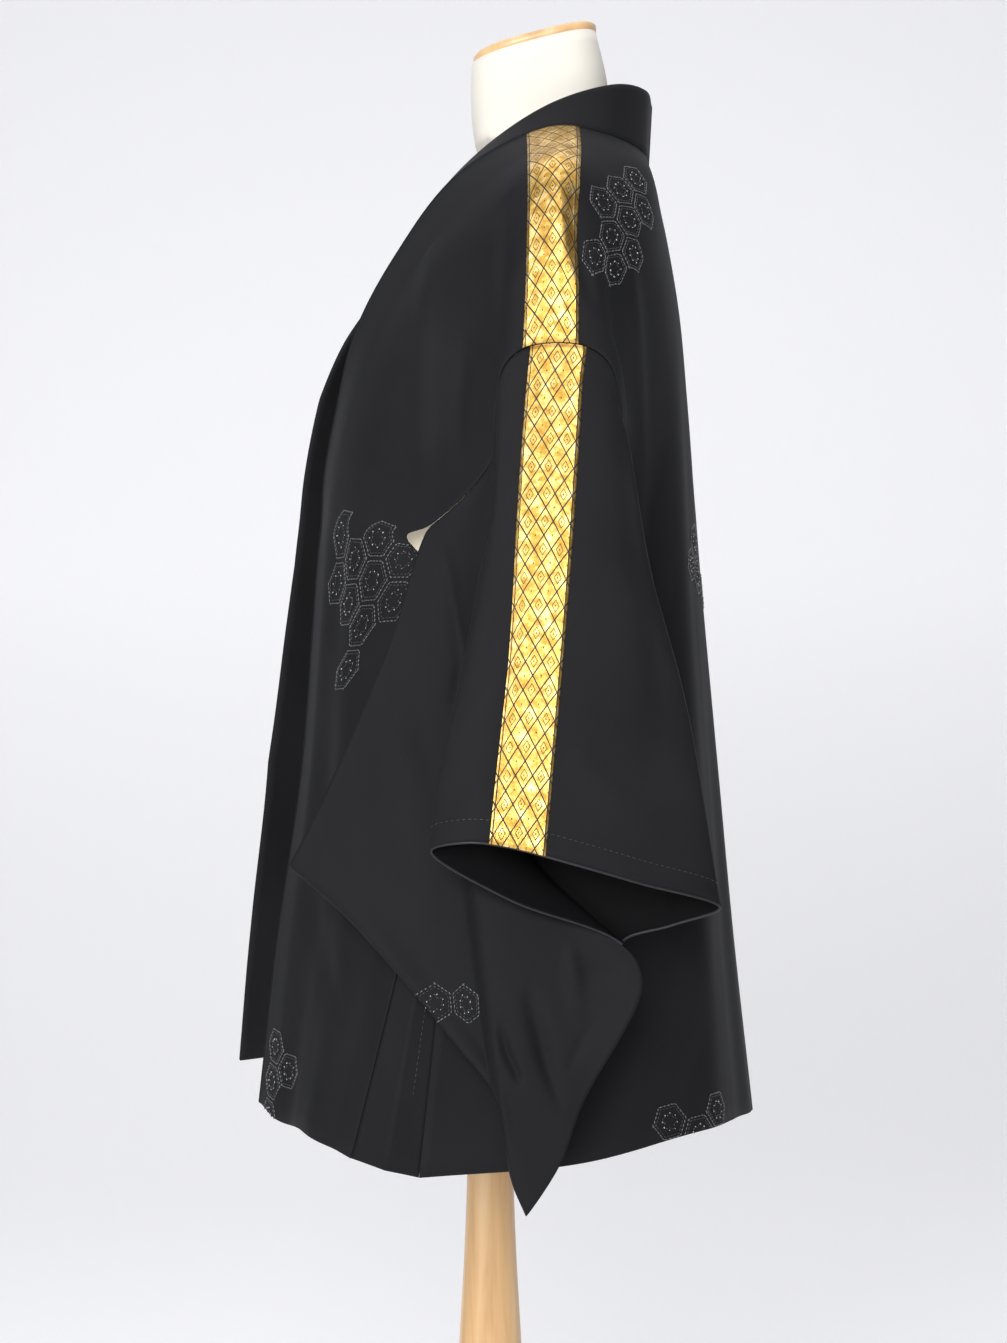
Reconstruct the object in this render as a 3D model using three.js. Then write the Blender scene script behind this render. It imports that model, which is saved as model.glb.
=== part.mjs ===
// A kimono jacket (haori) worn by a limbless dress form on a turned wooden stand.
// Millimetres, +Z up. The floor is Z = 0, the post stands on the Z axis, the front faces -Y
// and the wearer's left is +X.
import * as THREE from 'three';

// Cloth and trim
const CLOTH_WALL = 1.6;
const COLLAR_WALL = 4.0;
const RIBBON_WALL = 1.0;
const RIBBON_WIDTH = 42;
const SEAM_GAP = 0.6;
const RIBBON_LIFT = 0.7;
const RIBBON_START = 4;
const BAG_HALF_DEPTH = 2.6;
const BAG_TURN = 2.0;

// How the right front hangs at each height: its free edge swings forward and opens sideways, its seam
// stays further back, and its hem is a little higher than the left one.
const RIGHT_FRONT = [
  { z: 600, edge: 31, opens: 26, seam: -10 },
  { z: 740, edge: 34, opens: 28, seam: -11 },
  { z: 885, edge: 39, opens: 28, seam: -12 },
  { z: 1050, edge: 28, opens: 26, seam: -10 },
  { z: 1190, edge: 24, opens: 18, seam: -6 },
  { z: 1240, edge: 14, opens: 9, seam: -3 },
  { z: 1300, edge: 0, opens: 0, seam: 0 },
];
const RIGHT_HEM_LIFT = 17;
const HEM_ZONE = 250;
const HEM_HEIGHT = 600;

// Stand
const BASE_RADIUS = 200;
const BASE_THICKNESS = 34;
const BASE_EDGE = 12;
const POST_TOP_RADIUS = 17.5;
const POST_PROFILE = [
  [30, 34.3], [32, 60], [27, 120], [33, 210], [31, 300], [26, 400], [21.5, 480], [18.5, 575],
];
const TOUCH_GAP = 0.3;
const CAP_THICKNESS = 7;
const FORM_SEGMENTS = 28;
const POST_SEGMENTS = 20;

// Body length, front hem to back hem over the shoulder. Each row is one line of the cloth, from the
// collar seam (or the centre back) out to the armhole (or the gusset).
const BODY_ROWS = [
  {
    row: 'front hem', seam: [72, -184, 614], breast: [112, -166, 606], ridge: [146, -146, 607],
    hollow: [173, -123, 600], arm: [194, -104, 594],
  },
  {
    row: 'front thigh', seam: [72, -170, 740], breast: [108, -152, 740], ridge: [142, -126, 738],
    hollow: [170, -96, 736], arm: [189, -69, 735],
  },
  {
    row: 'front hip', seam: [72, -150, 880], breast: [108, -136, 880], ridge: [142, -110, 880],
    hollow: [168, -76, 880], arm: [184, -36, 880],
  },
  {
    row: 'gusset top, front', seam: [72, -141, 995], breast: [108, -128, 995], ridge: [142, -103, 996],
    hollow: [168, -68, 998], arm: [182, -16, 1000],
  },
  {
    row: 'side slit, low', seam: [72, -137, 1050], breast: [108, -125, 1050], ridge: [142, -104, 1050],
    hollow: [166, -80, 1049], arm: [178, -50, 1046],
  },
  {
    row: 'side slit, front', seam: [72, -134, 1080], breast: [108, -124, 1078], ridge: [142, -105, 1074],
    hollow: [162, -86, 1069], arm: [174, -63, 1063],
  },
  {
    row: 'armhole end, front', seam: [72, -132, 1115], breast: [110, -120, 1108], ridge: [144, -99, 1098],
    hollow: [170, -70, 1085], arm: [190, -44, 1071],
  },
  {
    row: 'armhole low, front', seam: [74, -122, 1170], breast: [110, -110, 1160], ridge: [144, -86, 1148],
    hollow: [173, -34, 1132], arm: [202, 2, 1118],
  },
  {
    row: 'armhole mid, front', seam: [78, -107, 1230], breast: [112, -90, 1219], ridge: [144, -70, 1200],
    hollow: [174, -19, 1180], arm: [203, 5, 1156],
  },
  {
    row: 'armhole high, front', seam: [84, -75, 1290], breast: [117, -59, 1276], ridge: [152, -45, 1252],
    hollow: [182, -4, 1226], arm: [204, 11, 1188],
  },
  {
    row: 'shoulder, front side', seam: [94, -24, 1354], breast: [130, -12, 1334], ridge: [168, -4, 1302],
    hollow: [195, 13, 1262], arm: [205, 24, 1201],
  },
  {
    row: 'shoulder line', seam: [99, 50, 1391], breast: [140, 50, 1369], ridge: [184, 49, 1341],
    hollow: [201, 48, 1283], arm: [205, 46, 1206],
  },
  {
    row: 'shoulder, back side', seam: [90, 93, 1387], breast: [130, 92, 1362], ridge: [170, 87, 1322],
    hollow: [197, 79, 1265], arm: [205, 74, 1203],
  },
  {
    row: 'armhole high, back', seam: [54, 123, 1381], breast: [100, 125, 1352], ridge: [144, 118, 1302],
    hollow: [182, 99, 1245], arm: [203, 91, 1190],
  },
  {
    row: 'armhole mid, back', seam: [0, 130, 1375], breast: [66, 139, 1320], ridge: [121, 134, 1265],
    hollow: [168, 111, 1210], arm: [202, 99, 1150],
  },
  {
    row: 'armhole low, back', seam: [0, 149, 1300], breast: [62, 152, 1245], ridge: [116, 142, 1195],
    hollow: [162, 115, 1150], arm: [196, 93, 1100],
  },
  {
    row: 'armhole end, back', seam: [0, 161, 1200], breast: [61, 159, 1165], ridge: [116, 144, 1130],
    hollow: [160, 112, 1100], arm: [188, 80, 1065],
  },
  {
    row: 'gusset top, back', seam: [0, 173, 1050], breast: [61, 168, 1040], ridge: [116, 144, 1028],
    hollow: [160, 98, 1014], arm: [184, 4, 1000],
  },
  {
    row: 'back hip', seam: [0, 189, 880], breast: [62, 181, 880], ridge: [119, 149, 880],
    hollow: [164, 86, 880], arm: [187, -22, 880],
  },
  {
    row: 'back thigh', seam: [0, 202, 740], breast: [63, 192, 738], ridge: [123, 156, 736],
    hollow: [170, 84, 734], arm: [193, -36, 732],
  },
  {
    row: 'back hem', seam: [0, 218, 595], breast: [64, 204, 601], ridge: [128, 162, 603],
    hollow: [178, 80, 588], arm: [202, -52, 581],
  },
];
const BODY_COLUMNS = ['seam', 'breast', 'ridge', 'hollow', 'arm'];
const BODY_STEPS_ALONG = 2;
const BODY_STEPS_ACROSS = 4;
const SHOULDER_ROW = BODY_ROWS.findIndex((line) => line.row === 'shoulder line');
const NAPE_ROW = BODY_ROWS.findIndex((line) => line.row === 'armhole mid, back');
const ARMHOLE_FRONT_ROW = BODY_ROWS.findIndex((line) => line.row === 'armhole end, front');
const ARMHOLE_BACK_ROW = BODY_ROWS.findIndex((line) => line.row === 'armhole end, back');
const GUSSET_ROW = BODY_ROWS.findIndex((line) => line.row === 'gusset top, front');

// Soft vertical folds of the body. across runs 0 at the collar seam to 4 at the armhole, and from and
// to are places in BODY_ROWS. A positive height goes in towards the form.
const BODY_FOLDS = [
  { across: 1.3, halfWidth: 0.7, from: 0, to: 6.5, height: 4 },
  { across: 2.6, halfWidth: 0.8, from: 0, to: 4, height: -5 },
  { across: 0.9, halfWidth: 0.6, from: 16, to: 20, height: 5 },
  { across: 1.9, halfWidth: 0.6, from: 14.5, to: 20, height: -7 },
  { across: 2.9, halfWidth: 0.6, from: 17, to: 20, height: 4 },
];

// The free edge of the collar band beside each row of the body, from the front hem to the nape.
const COLLAR_FREE_EDGE = [
  [12, -181, 614], [12, -168, 743], [12, -149, 883], [12, -141, 1000], [13, -137, 1056], [13, -134, 1088],
  [14, -131, 1125], [16, -122, 1180], [22, -107, 1240], [34, -74, 1302], [57, -20, 1368], [86, 47, 1411],
  [74, 98, 1430], [42, 125, 1434], [0, 133, 1430],
];
const COLLAR_STEPS_ACROSS = 3;
const COLLAR_SEAM_GAP = 1.2;

// The gusset's pressed fold stands out between its two seams.
const GUSSET_FOLD = 9;
const GUSSET_STEPS = 4;

// Lines that run the length of the sleeve, from the armhole to the wrist. The front layer is pleated
// back on itself behind its outer edge and falls again as the hanging bag.
const SLEEVE_LINES = {
  bottomSeam: [
    [185, -150, 815], [195, -108, 779], [206, -70, 739], [214, -26, 687],
    [219, 8, 642], [222.5, 17, 590], [225, 29, 562],
  ],
  bagFootFront: [[184, -131, 853], [198, -88, 791], [211.5, -28, 716], [220, 17, 648], [227, 53, 598]],
  bagLowFront: [[184, -111, 896], [200, -62, 800], [216, 0, 712], [228, 69, 640]],
  bagHighFront: [[187, -74, 983], [201, -52, 908], [210, -20, 838], [218.5, 28, 776], [227, 114, 730]],
  bagTopFront: [
    [190, -44, 1071], [197, -28, 1010], [203, -12, 945],
    [209, 0, 885], [215, 30, 822], [223.5, 99, 758],
  ],
  pleatFront: [[200, -9, 1106], [212, -9, 1040], [220, -10, 960], [230, -4, 870], [236, 16, 792]],
  edgeFront: [
    [203, 4, 1137], [217, 3, 1076], [225, -7, 1028],
    [236, -23, 939], [245, -37, 876], [250, -42, 829],
  ],
  faceFront: [[204, 12, 1186], [225, 10, 1080], [243, 2, 970], [262, -16, 836]],
  topFold: [[205, 46, 1204], [236, 30, 1015], [261, 13, 833]],
  faceBack: [[205, 73, 1201], [236, 80, 1010], [260, 66, 819]],
  faceFarBack: [[204, 87, 1192], [233, 113, 995], [255, 110, 806]],
  edgeBack: [[202, 97, 1165], [212, 108, 1110], [219, 122, 1030], [230, 146, 930], [240, 170, 787]],
  wrapBack: [[196, 94, 1098], [205, 108, 1000], [213, 122, 890], [223, 135, 772]],
  bagTopBack: [[188, 80, 1063], [196, 62, 985], [202, 44, 915], [207.5, 44, 834], [213.5, 99, 758]],
  bagHighBack: [[193, 5, 985], [195, -2, 910], [201, 0, 840], [210.5, 36, 776], [217, 114, 730]],
  bagLowBack: [[180, -70, 897], [196, -55, 802], [207, 0, 712], [224, 69, 640]],
  bagFootBack: [[181, -108, 857], [194, -84, 792], [206, -28, 716], [214.5, 17, 648], [222, 53, 598]],
};
const SLEEVE_STATIONS = 16;
const SLEEVE_STEPS_AROUND = 3;
const SEWN_COLUMNS = 13;
const WRIST_TURN_IN = 2.2;
const ARMHOLE_GAP = 2.2;

// The lower front of the bag stands out along a fold that falls from the wrist to the lowest corner.
const BAG_CORNERS = 5;
const BAG_FOLD = { topY: -16, topZ: 805, footY: 16, footZ: 575, rise: 9, softness: 14, width: 75 };

// Dress form, from the flat underside to the neck: half width, front and back reach, forward tilt.
const FORM_ROWS = [
  { z: 700, half: 118, front: -58, back: 74, tilt: 0 },
  { z: 712, half: 150, front: -76, back: 94, tilt: 0 },
  { z: 780, half: 168, front: -88, back: 108, tilt: 0 },
  { z: 860, half: 158, front: -88, back: 98, tilt: 0 },
  { z: 950, half: 142, front: -84, back: 78, tilt: 0 },
  { z: 1040, half: 160, front: -100, back: 90, tilt: 0 },
  { z: 1120, half: 168, front: -104, back: 112, tilt: 0 },
  { z: 1200, half: 172, front: -86, back: 124, tilt: 0 },
  { z: 1260, half: 182, front: -54, back: 122, tilt: 0 },
  { z: 1300, half: 190, front: -34, back: 120, tilt: 0 },
  { z: 1325, half: 190, front: -14, back: 114, tilt: 0 },
  { z: 1340, half: 179.5, front: -4, back: 110, tilt: 0 },
  { z: 1361, half: 142, front: 8, back: 106, tilt: 0 },
  { z: 1379, half: 90, front: 10, back: 104, tilt: 0 },
  { z: 1395, half: 66, front: -10, back: 104, tilt: 0.03 },
  { z: 1412, half: 52, front: -14, back: 100, tilt: 0.08 },
  { z: 1440, half: 49, front: -16, back: 97, tilt: 0.18 },
  { z: 1478, half: 46, front: -16, back: 88, tilt: 0.25 },
];
// The neck runs down inside the shoulders and is blended into them.
const NECK = { half: 50, front: -14, back: 98 };
const NECK_BLEND = 8;
const FORM_SQUARENESS = 2.1;
const NECK_SQUARENESS = 2.9;
const FORM_MIDDLE = 48;
const CAP_ROW = FORM_ROWS[FORM_ROWS.length - 1];
const CAP_INSET = 2;

const vec = ([x, y, z]) => new THREE.Vector3(x, y, z);
const flow = (points, closed = false) => new THREE.CatmullRomCurve3(points, closed, 'centripetal');
const ease = (low, high, value) => THREE.MathUtils.smoothstep(value, low, high);

// A place along a curve counted in its own points: 2.5 is halfway from point 2 to point 3.
function pointAt(curve, place) {
  const spans = curve.closed ? curve.points.length : curve.points.length - 1;
  return curve.getPoint(THREE.MathUtils.clamp(place / spans, 0, 1));
}

// Turns a list of triangles into a mesh geometry whose faces point outwards.
function solid(points, triangles) {
  let volume = 0;
  for (const [a, b, c] of triangles) {
    volume += points[a].dot(new THREE.Vector3().crossVectors(points[b], points[c]));
  }
  const index = triangles.flatMap(([a, b, c]) => (volume < 0 ? [a, c, b] : [a, b, c]));
  const geometry = new THREE.BufferGeometry();
  geometry.setAttribute('position', new THREE.Float32BufferAttribute(points.flatMap((p) => p.toArray()), 3));
  geometry.setIndex(index);
  geometry.computeVertexNormals();
  return geometry;
}

const quad = (a, b, c, d) => [[a, b, c], [a, c, d]];

// The unit normals of a grid of points, each the mean of the faces that meet at the point. A ring grid
// closes on itself across.
function gridNormals(grid, ring) {
  return grid.map((line, i) => line.map((p, j) => {
    const normal = new THREE.Vector3();
    for (const [stepAlong, stepAcross] of [[1, 1], [1, -1], [-1, 1], [-1, -1]]) {
      const nextAcross = ring ? (j + stepAcross + line.length) % line.length : j + stepAcross;
      const ahead = grid[i + stepAlong]?.[j];
      const beside = line[nextAcross];
      if (!ahead || !beside) continue;
      const face = ahead.clone().sub(p).cross(beside.clone().sub(p)).normalize();
      normal.addScaledVector(face, stepAlong * stepAcross);
    }
    return normal.normalize();
  }));
}

// The grid moved along its own normals.
function raised(grid, distance, ring = false) {
  const normals = gridNormals(grid, ring);
  return grid.map((line, i) => line.map((p, j) => p.clone().addScaledVector(normals[i][j], distance)));
}

// An open panel: a wall of even thickness on both sides of a grid, closed round its rim.
function panel(grid, wall) {
  const rows = grid.length;
  const columns = grid[0].length;
  const points = [...raised(grid, wall / 2).flat(), ...raised(grid, -wall / 2).flat()];
  const front = (i, j) => i * columns + j;
  const back = (i, j) => rows * columns + front(i, j);
  const triangles = [];
  for (let i = 0; i < rows - 1; i += 1) {
    for (let j = 0; j < columns - 1; j += 1) {
      triangles.push(...quad(front(i, j), front(i + 1, j), front(i + 1, j + 1), front(i, j + 1)));
      triangles.push(...quad(back(i, j), back(i, j + 1), back(i + 1, j + 1), back(i + 1, j)));
    }
    triangles.push(...quad(front(i, 0), back(i, 0), back(i + 1, 0), front(i + 1, 0)));
    const end = columns - 1;
    triangles.push(...quad(front(i, end), front(i + 1, end), back(i + 1, end), back(i, end)));
  }
  for (let j = 0; j < columns - 1; j += 1) {
    triangles.push(...quad(front(0, j), front(0, j + 1), back(0, j + 1), back(0, j)));
    const end = rows - 1;
    triangles.push(...quad(front(end, j), back(end, j), back(end, j + 1), front(end, j + 1)));
  }
  return solid(points, triangles);
}

// A sleeve: a wall round a grid of rings. At the last ring the layers either side of column 0 are
// sewn together as far as column sewn, and the rest stays open.
function sleeveWall(grid, wall, sewn, side) {
  const rings = grid.length;
  const count = grid[0].length;
  const outer = raised(grid, wall / 2, true);
  const inner = raised(grid, -wall / 2, true);
  const lastInner = inner[rings - 1];
  const beforeInner = inner[rings - 2];
  lastInner.forEach((p, j) => {
    const span = p.distanceTo(beforeInner[j]);
    p.lerp(beforeInner[j], WRIST_TURN_IN / span);
  });
  const points = [...outer.flat(), ...inner.flat()];
  for (const p of points) p.x *= side;
  const out = (i, j) => i * count + (j % count);
  const inn = (i, j) => rings * count + out(i, j);
  const triangles = [];
  for (let i = 0; i < rings - 1; i += 1) {
    for (let j = 0; j < count; j += 1) {
      triangles.push(...quad(out(i, j), out(i + 1, j), out(i + 1, j + 1), out(i, j + 1)));
      triangles.push(...quad(inn(i, j), inn(i, j + 1), inn(i + 1, j + 1), inn(i + 1, j)));
    }
  }
  for (let j = 0; j < count; j += 1) {
    triangles.push(...quad(out(0, j), out(0, j + 1), inn(0, j + 1), inn(0, j)));
  }
  const end = rings - 1;
  for (let j = sewn; j < count - sewn; j += 1) {
    triangles.push(...quad(out(end, j), inn(end, j), inn(end, j + 1), out(end, j + 1)));
  }
  triangles.push([out(end, 0), out(end, count - 1), out(end, 1)]);
  triangles.push([inn(end, 0), inn(end, 1), inn(end, count - 1)]);
  for (let j = 1; j < sewn; j += 1) {
    triangles.push(...quad(out(end, j), out(end, count - j), out(end, count - j - 1), out(end, j + 1)));
    triangles.push(...quad(inn(end, j), inn(end, j + 1), inn(end, count - j - 1), inn(end, count - j)));
  }
  triangles.push(...quad(out(end, sewn), out(end, count - sewn), inn(end, count - sewn), inn(end, sewn)));
  return solid(points, triangles);
}

// Moves one edge of a grid a seam's gap away from the piece that it meets.
function pullBack(grid, column, neighbour, gap) {
  for (const line of grid) {
    line[column].lerp(line[neighbour], gap / line[column].distanceTo(line[neighbour]));
  }
}

// One column of RIGHT_FRONT at a height, eased from row to row.
function rightFront(column, z) {
  const upper = RIGHT_FRONT.findIndex((row) => row.z > z);
  if (upper < 0) return 0;
  if (upper === 0) return RIGHT_FRONT[0][column];
  const low = RIGHT_FRONT[upper - 1];
  const high = RIGHT_FRONT[upper];
  return THREE.MathUtils.lerp(low[column], high[column], (z - low.z) / (high.z - low.z));
}

// Places a point of the left side on the side that is wanted. Edge is 1 on the collar's free edge.
function onSide(point, side, frontness, edge = 0) {
  if (side > 0) return point;
  const nearHem = 1 - ease(HEM_HEIGHT, HEM_HEIGHT + HEM_ZONE, point.z);
  const forward = rightFront(edge ? 'edge' : 'seam', point.z);
  const swung = point.clone();
  swung.x = -point.x - edge * rightFront('opens', point.z);
  swung.y -= forward * frontness;
  swung.z += RIGHT_HEM_LIFT * frontness * nearHem;
  return swung;
}

const bodyCurves = BODY_COLUMNS.map((column) => flow(BODY_ROWS.map((line) => vec(line[column]))));

// The whole line of the body's cloth at a place in BODY_ROWS.
const bodyLine = (place) => flow(bodyCurves.map((curve) => pointAt(curve, place)));

function foldHeight(place, across) {
  return BODY_FOLDS.reduce((sum, fold) => {
    const aside = Math.abs(across - fold.across) / fold.halfWidth;
    if (aside >= 1) return sum;
    const run = (place - fold.from) / (fold.to - fold.from);
    if (run < 0 || run > 1) return sum;
    const fromHem = fold.from === 0 ? 1 - run : run;
    return sum + fold.height * Math.cos((aside * Math.PI) / 2) ** 2 * ease(0, 0.7, fromHem);
  }, 0);
}

// The body's middle surface on one side. Rows run front hem to back hem, columns seam to armhole.
function bodyGrid(side) {
  const rows = (BODY_ROWS.length - 1) * BODY_STEPS_ALONG;
  const columns = (BODY_COLUMNS.length - 1) * BODY_STEPS_ACROSS;
  const grid = [];
  for (let i = 0; i <= rows; i += 1) {
    const line = bodyLine(i / BODY_STEPS_ALONG);
    const across = Array.from({ length: columns + 1 }, (_, j) => pointAt(line, j / BODY_STEPS_ACROSS));
    if (i >= NAPE_ROW * BODY_STEPS_ALONG) across[0].x = 0;
    grid.push(across);
  }
  const normals = gridNormals(grid, false);
  return grid.map((line, i) => line.map((p, j) => {
    const place = i / BODY_STEPS_ALONG;
    const across = j / BODY_STEPS_ACROSS;
    const frontness = (1 - across / 4) * (1 - ease(8, SHOULDER_ROW, place));
    return onSide(p.addScaledVector(normals[i][j], foldHeight(place, across)), side, frontness);
  }));
}

// The shoulder ribbon's own grid: a strip of even width across the body or round the sleeve, each
// point found by walking the cloth either way from the ribbon's middle line.
function walk(line, start, distance) {
  if (distance === 0) return line[start].clone();
  const step = Math.sign(distance);
  let left = Math.abs(distance);
  let from = start;
  while (line[from + step]) {
    const span = line[from].distanceTo(line[from + step]);
    if (span >= left) return line[from].clone().lerp(line[from + step], left / span);
    left -= span;
    from += step;
  }
  return line[from].clone();
}

function stripAlong(lines, middle) {
  const offsets = [-0.5, -0.25, 0, 0.25, 0.5].map((share) => share * RIBBON_WIDTH);
  return lines.map((line) => offsets.map((offset) => walk(line, middle, offset)));
}

const transposed = (grid) => grid[0].map((_, j) => grid.map((line) => line[j]));
const mirrored = (grid, side) => (
  grid.map((line) => line.map((p) => new THREE.Vector3(side * p.x, p.y, p.z)))
);

// How far the front of the bag stands out beside its long fold.
function bagFold(point) {
  const run = THREE.MathUtils.clamp((BAG_FOLD.topZ - point.z) / (BAG_FOLD.topZ - BAG_FOLD.footZ), 0, 1);
  const foldY = THREE.MathUtils.lerp(BAG_FOLD.topY, BAG_FOLD.footY, run);
  const below = ease(BAG_FOLD.topZ + 60, BAG_FOLD.topZ - 60, point.z);
  const rising = ease(foldY - BAG_FOLD.softness, foldY + BAG_FOLD.softness, point.y);
  const settling = 1 - ease(foldY + BAG_FOLD.softness, foldY + BAG_FOLD.width, point.y);
  return BAG_FOLD.rise * rising * settling * below;
}

// Lays the sewn part of the sleeve's first ring along the armhole edge of the body: its front half up
// to the top fold, then its back half.
function fitArmhole(grid, armhole) {
  const ring = grid[0];
  const nearest = (target) => ring.reduce((best, p, j) => (
    p.distanceTo(target) < ring[best].distanceTo(target) ? j : best), 0);
  const middle = SHOULDER_ROW - ARMHOLE_FRONT_ROW;
  const halves = [
    armhole.slice(0, middle * BODY_STEPS_ALONG + 1),
    armhole.slice(middle * BODY_STEPS_ALONG),
  ];
  for (const half of halves) {
    const first = nearest(half[0]);
    const last = nearest(half[half.length - 1]);
    const edge = flow(half);
    for (let j = first; j <= last; j += 1) {
      const share = (j - first) / (last - first);
      const onEdge = edge.getPointAt(share);
      const along = edge.getTangentAt(share);
      const away = grid[1][j].clone().sub(onEdge);
      away.addScaledVector(along, -away.dot(along)).normalize();
      ring[j].copy(onEdge).addScaledVector(away, ARMHOLE_GAP);
    }
  }
}

// The sleeve's middle surface: rings from the armhole to the wrist. Column 0 is the bottom seam, the
// front layer follows, then the top fold and the back layer.
function sleeveGrid(armhole) {
  const lines = Object.fromEntries(
    Object.entries(SLEEVE_LINES).map(([name, places]) => [name, flow(places.map(vec))]),
  );
  const grid = [];
  for (let i = 0; i <= SLEEVE_STATIONS; i += 1) {
    const share = i / SLEEVE_STATIONS;
    const here = Object.fromEntries(
      Object.entries(lines).map(([name, curve]) => [name, curve.getPoint(share)]),
    );
    const { bottomSeam, ...rest } = here;
    const fall = here.bottomSeam.clone().sub(here.bagLowFront).normalize();
    const tip = bottomSeam.clone().addScaledVector(fall, BAG_TURN);
    const front = bottomSeam.clone().setX(bottomSeam.x + BAG_HALF_DEPTH);
    const back = bottomSeam.clone().setX(bottomSeam.x - BAG_HALF_DEPTH);
    const ring = flow([tip, front, ...Object.values(rest), back], true);
    const corners = ring.points.length;
    const line = [];
    for (let k = 0; k < corners; k += 1) {
      const steps = k === 0 || k === corners - 1 ? 1 : SLEEVE_STEPS_AROUND;
      for (let step = 0; step < steps; step += 1) {
        const point = ring.getPoint((k + step / steps) / corners);
        point.x += bagFold(point) * (1 - ease(BAG_CORNERS - 1, BAG_CORNERS, k + step / steps));
        line.push(point);
      }
    }
    grid.push(line);
  }
  fitArmhole(grid, armhole);
  return grid;
}

// The parallel lines of the body's cloth from collar to armhole, as a strip along the shoulder line.
function bodyRibbonGrid(grid) {
  const strip = stripAlong(transposed(grid), SHOULDER_ROW * BODY_STEPS_ALONG);
  strip[0].forEach((p, k) => p.lerp(strip[1][k], RIBBON_START / p.distanceTo(strip[1][k])));
  return strip;
}

// The gusset fills the side from hem to slit. Its pressed fold stands out more towards the hem.
function gussetGrid(body, side) {
  const last = body.length - 1;
  const edge = body[0].length - 1;
  const rows = GUSSET_ROW * BODY_STEPS_ALONG;
  const grid = [];
  for (let i = 0; i <= rows; i += 1) {
    const from = body[i][edge];
    const to = body[last - i][edge];
    const depth = (GUSSET_FOLD * side * (rows - i)) / rows;
    grid.push(Array.from({ length: GUSSET_STEPS + 1 }, (_, j) => {
      const share = j / GUSSET_STEPS;
      const point = from.clone().lerp(to, share);
      point.x += depth * (1 - Math.abs(2 * share - 1));
      return point;
    }));
  }
  pullBack(grid, 0, 1, SEAM_GAP);
  pullBack(grid, GUSSET_STEPS, GUSSET_STEPS - 1, SEAM_GAP);
  return grid;
}

// One side of the collar band, from the front hem to the nape.
function halfCollarGrid(body, side) {
  const free = flow(COLLAR_FREE_EDGE.map(vec));
  const rows = NAPE_ROW * BODY_STEPS_ALONG;
  const grid = [];
  for (let i = 0; i <= rows; i += 1) {
    const place = i / BODY_STEPS_ALONG;
    const frontness = 1 - ease(8, SHOULDER_ROW, place);
    const top = onSide(pointAt(free, place), side, frontness, 1);
    const sewn = body[i][0];
    grid.push(Array.from({ length: COLLAR_STEPS_ACROSS + 1 }, (_, j) => (
      top.clone().lerp(sewn, j / COLLAR_STEPS_ACROSS)
    )));
  }
  pullBack(grid, COLLAR_STEPS_ACROSS, COLLAR_STEPS_ACROSS - 1, COLLAR_SEAM_GAP);
  return grid;
}

function collarGrid(leftBody, rightBody) {
  const left = halfCollarGrid(leftBody, 1);
  const right = halfCollarGrid(rightBody, -1);
  return [...left, ...right.slice(0, -1).reverse()];
}

// How far a rounded outline reaches from its middle in one direction.
function outlineReach({ half, front, back }, middle, turn, squareness) {
  const sideways = Math.abs(Math.cos(turn)) / half;
  const depth = Math.sin(turn) < 0 ? middle - front : back - middle;
  const lengthways = Math.abs(Math.sin(turn)) / depth;
  return (sideways ** squareness + lengthways ** squareness) ** (-1 / squareness);
}

// A closed solid through level rings of a rounded outline. Each ring may tilt about X.
function loft(rows) {
  const points = [];
  const triangles = [];
  for (const row of rows) {
    for (let k = 0; k < FORM_SEGMENTS; k += 1) {
      const turn = (k / FORM_SEGMENTS) * Math.PI * 2;
      const squareness = row.tilt > 0 ? NECK_SQUARENESS : FORM_SQUARENESS;
      const own = outlineReach(row, FORM_MIDDLE, turn, squareness);
      const neck = outlineReach(NECK, FORM_MIDDLE, turn, NECK_SQUARENESS);
      const blended = (own ** NECK_BLEND + neck ** NECK_BLEND) ** (1 / NECK_BLEND);
      const reach = own < neck * 1.1 && row.tilt > 0 ? own : blended;
      const y = FORM_MIDDLE + reach * Math.sin(turn);
      points.push(new THREE.Vector3(reach * Math.cos(turn), y, row.z + row.tilt * (y - FORM_MIDDLE)));
    }
  }
  const top = rows.length - 1;
  const ring = (i, k) => i * FORM_SEGMENTS + (k % FORM_SEGMENTS);
  for (let k = 0; k < FORM_SEGMENTS; k += 1) {
    for (let i = 0; i < top; i += 1) {
      triangles.push(...quad(ring(i, k), ring(i, k + 1), ring(i + 1, k + 1), ring(i + 1, k)));
    }
  }
  for (let k = 1; k < FORM_SEGMENTS - 1; k += 1) {
    triangles.push([ring(0, 0), ring(0, k + 1), ring(0, k)]);
    triangles.push([ring(top, 0), ring(top, k), ring(top, k + 1)]);
  }
  return solid(points, triangles);
}

function turned(profile) {
  const geometry = new THREE.LatheGeometry(profile.map(([r, z]) => new THREE.Vector2(r, z)), POST_SEGMENTS);
  return geometry.rotateX(Math.PI / 2);
}

const materials = {
  satin: new THREE.MeshStandardMaterial({ color: 0x111214, roughness: 0.55, metalness: 0 }),
  brocade: new THREE.MeshStandardMaterial({ color: 0xc9962f, roughness: 0.35, metalness: 0.8 }),
  linen: new THREE.MeshStandardMaterial({ color: 0xe6e0d2, roughness: 0.9, metalness: 0 }),
  beech: new THREE.MeshStandardMaterial({ color: 0xd9a868, roughness: 0.45, metalness: 0 }),
};

function piece(name, geometry, material) {
  const mesh = new THREE.Mesh(geometry, material);
  mesh.name = name;
  return mesh;
}

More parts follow.
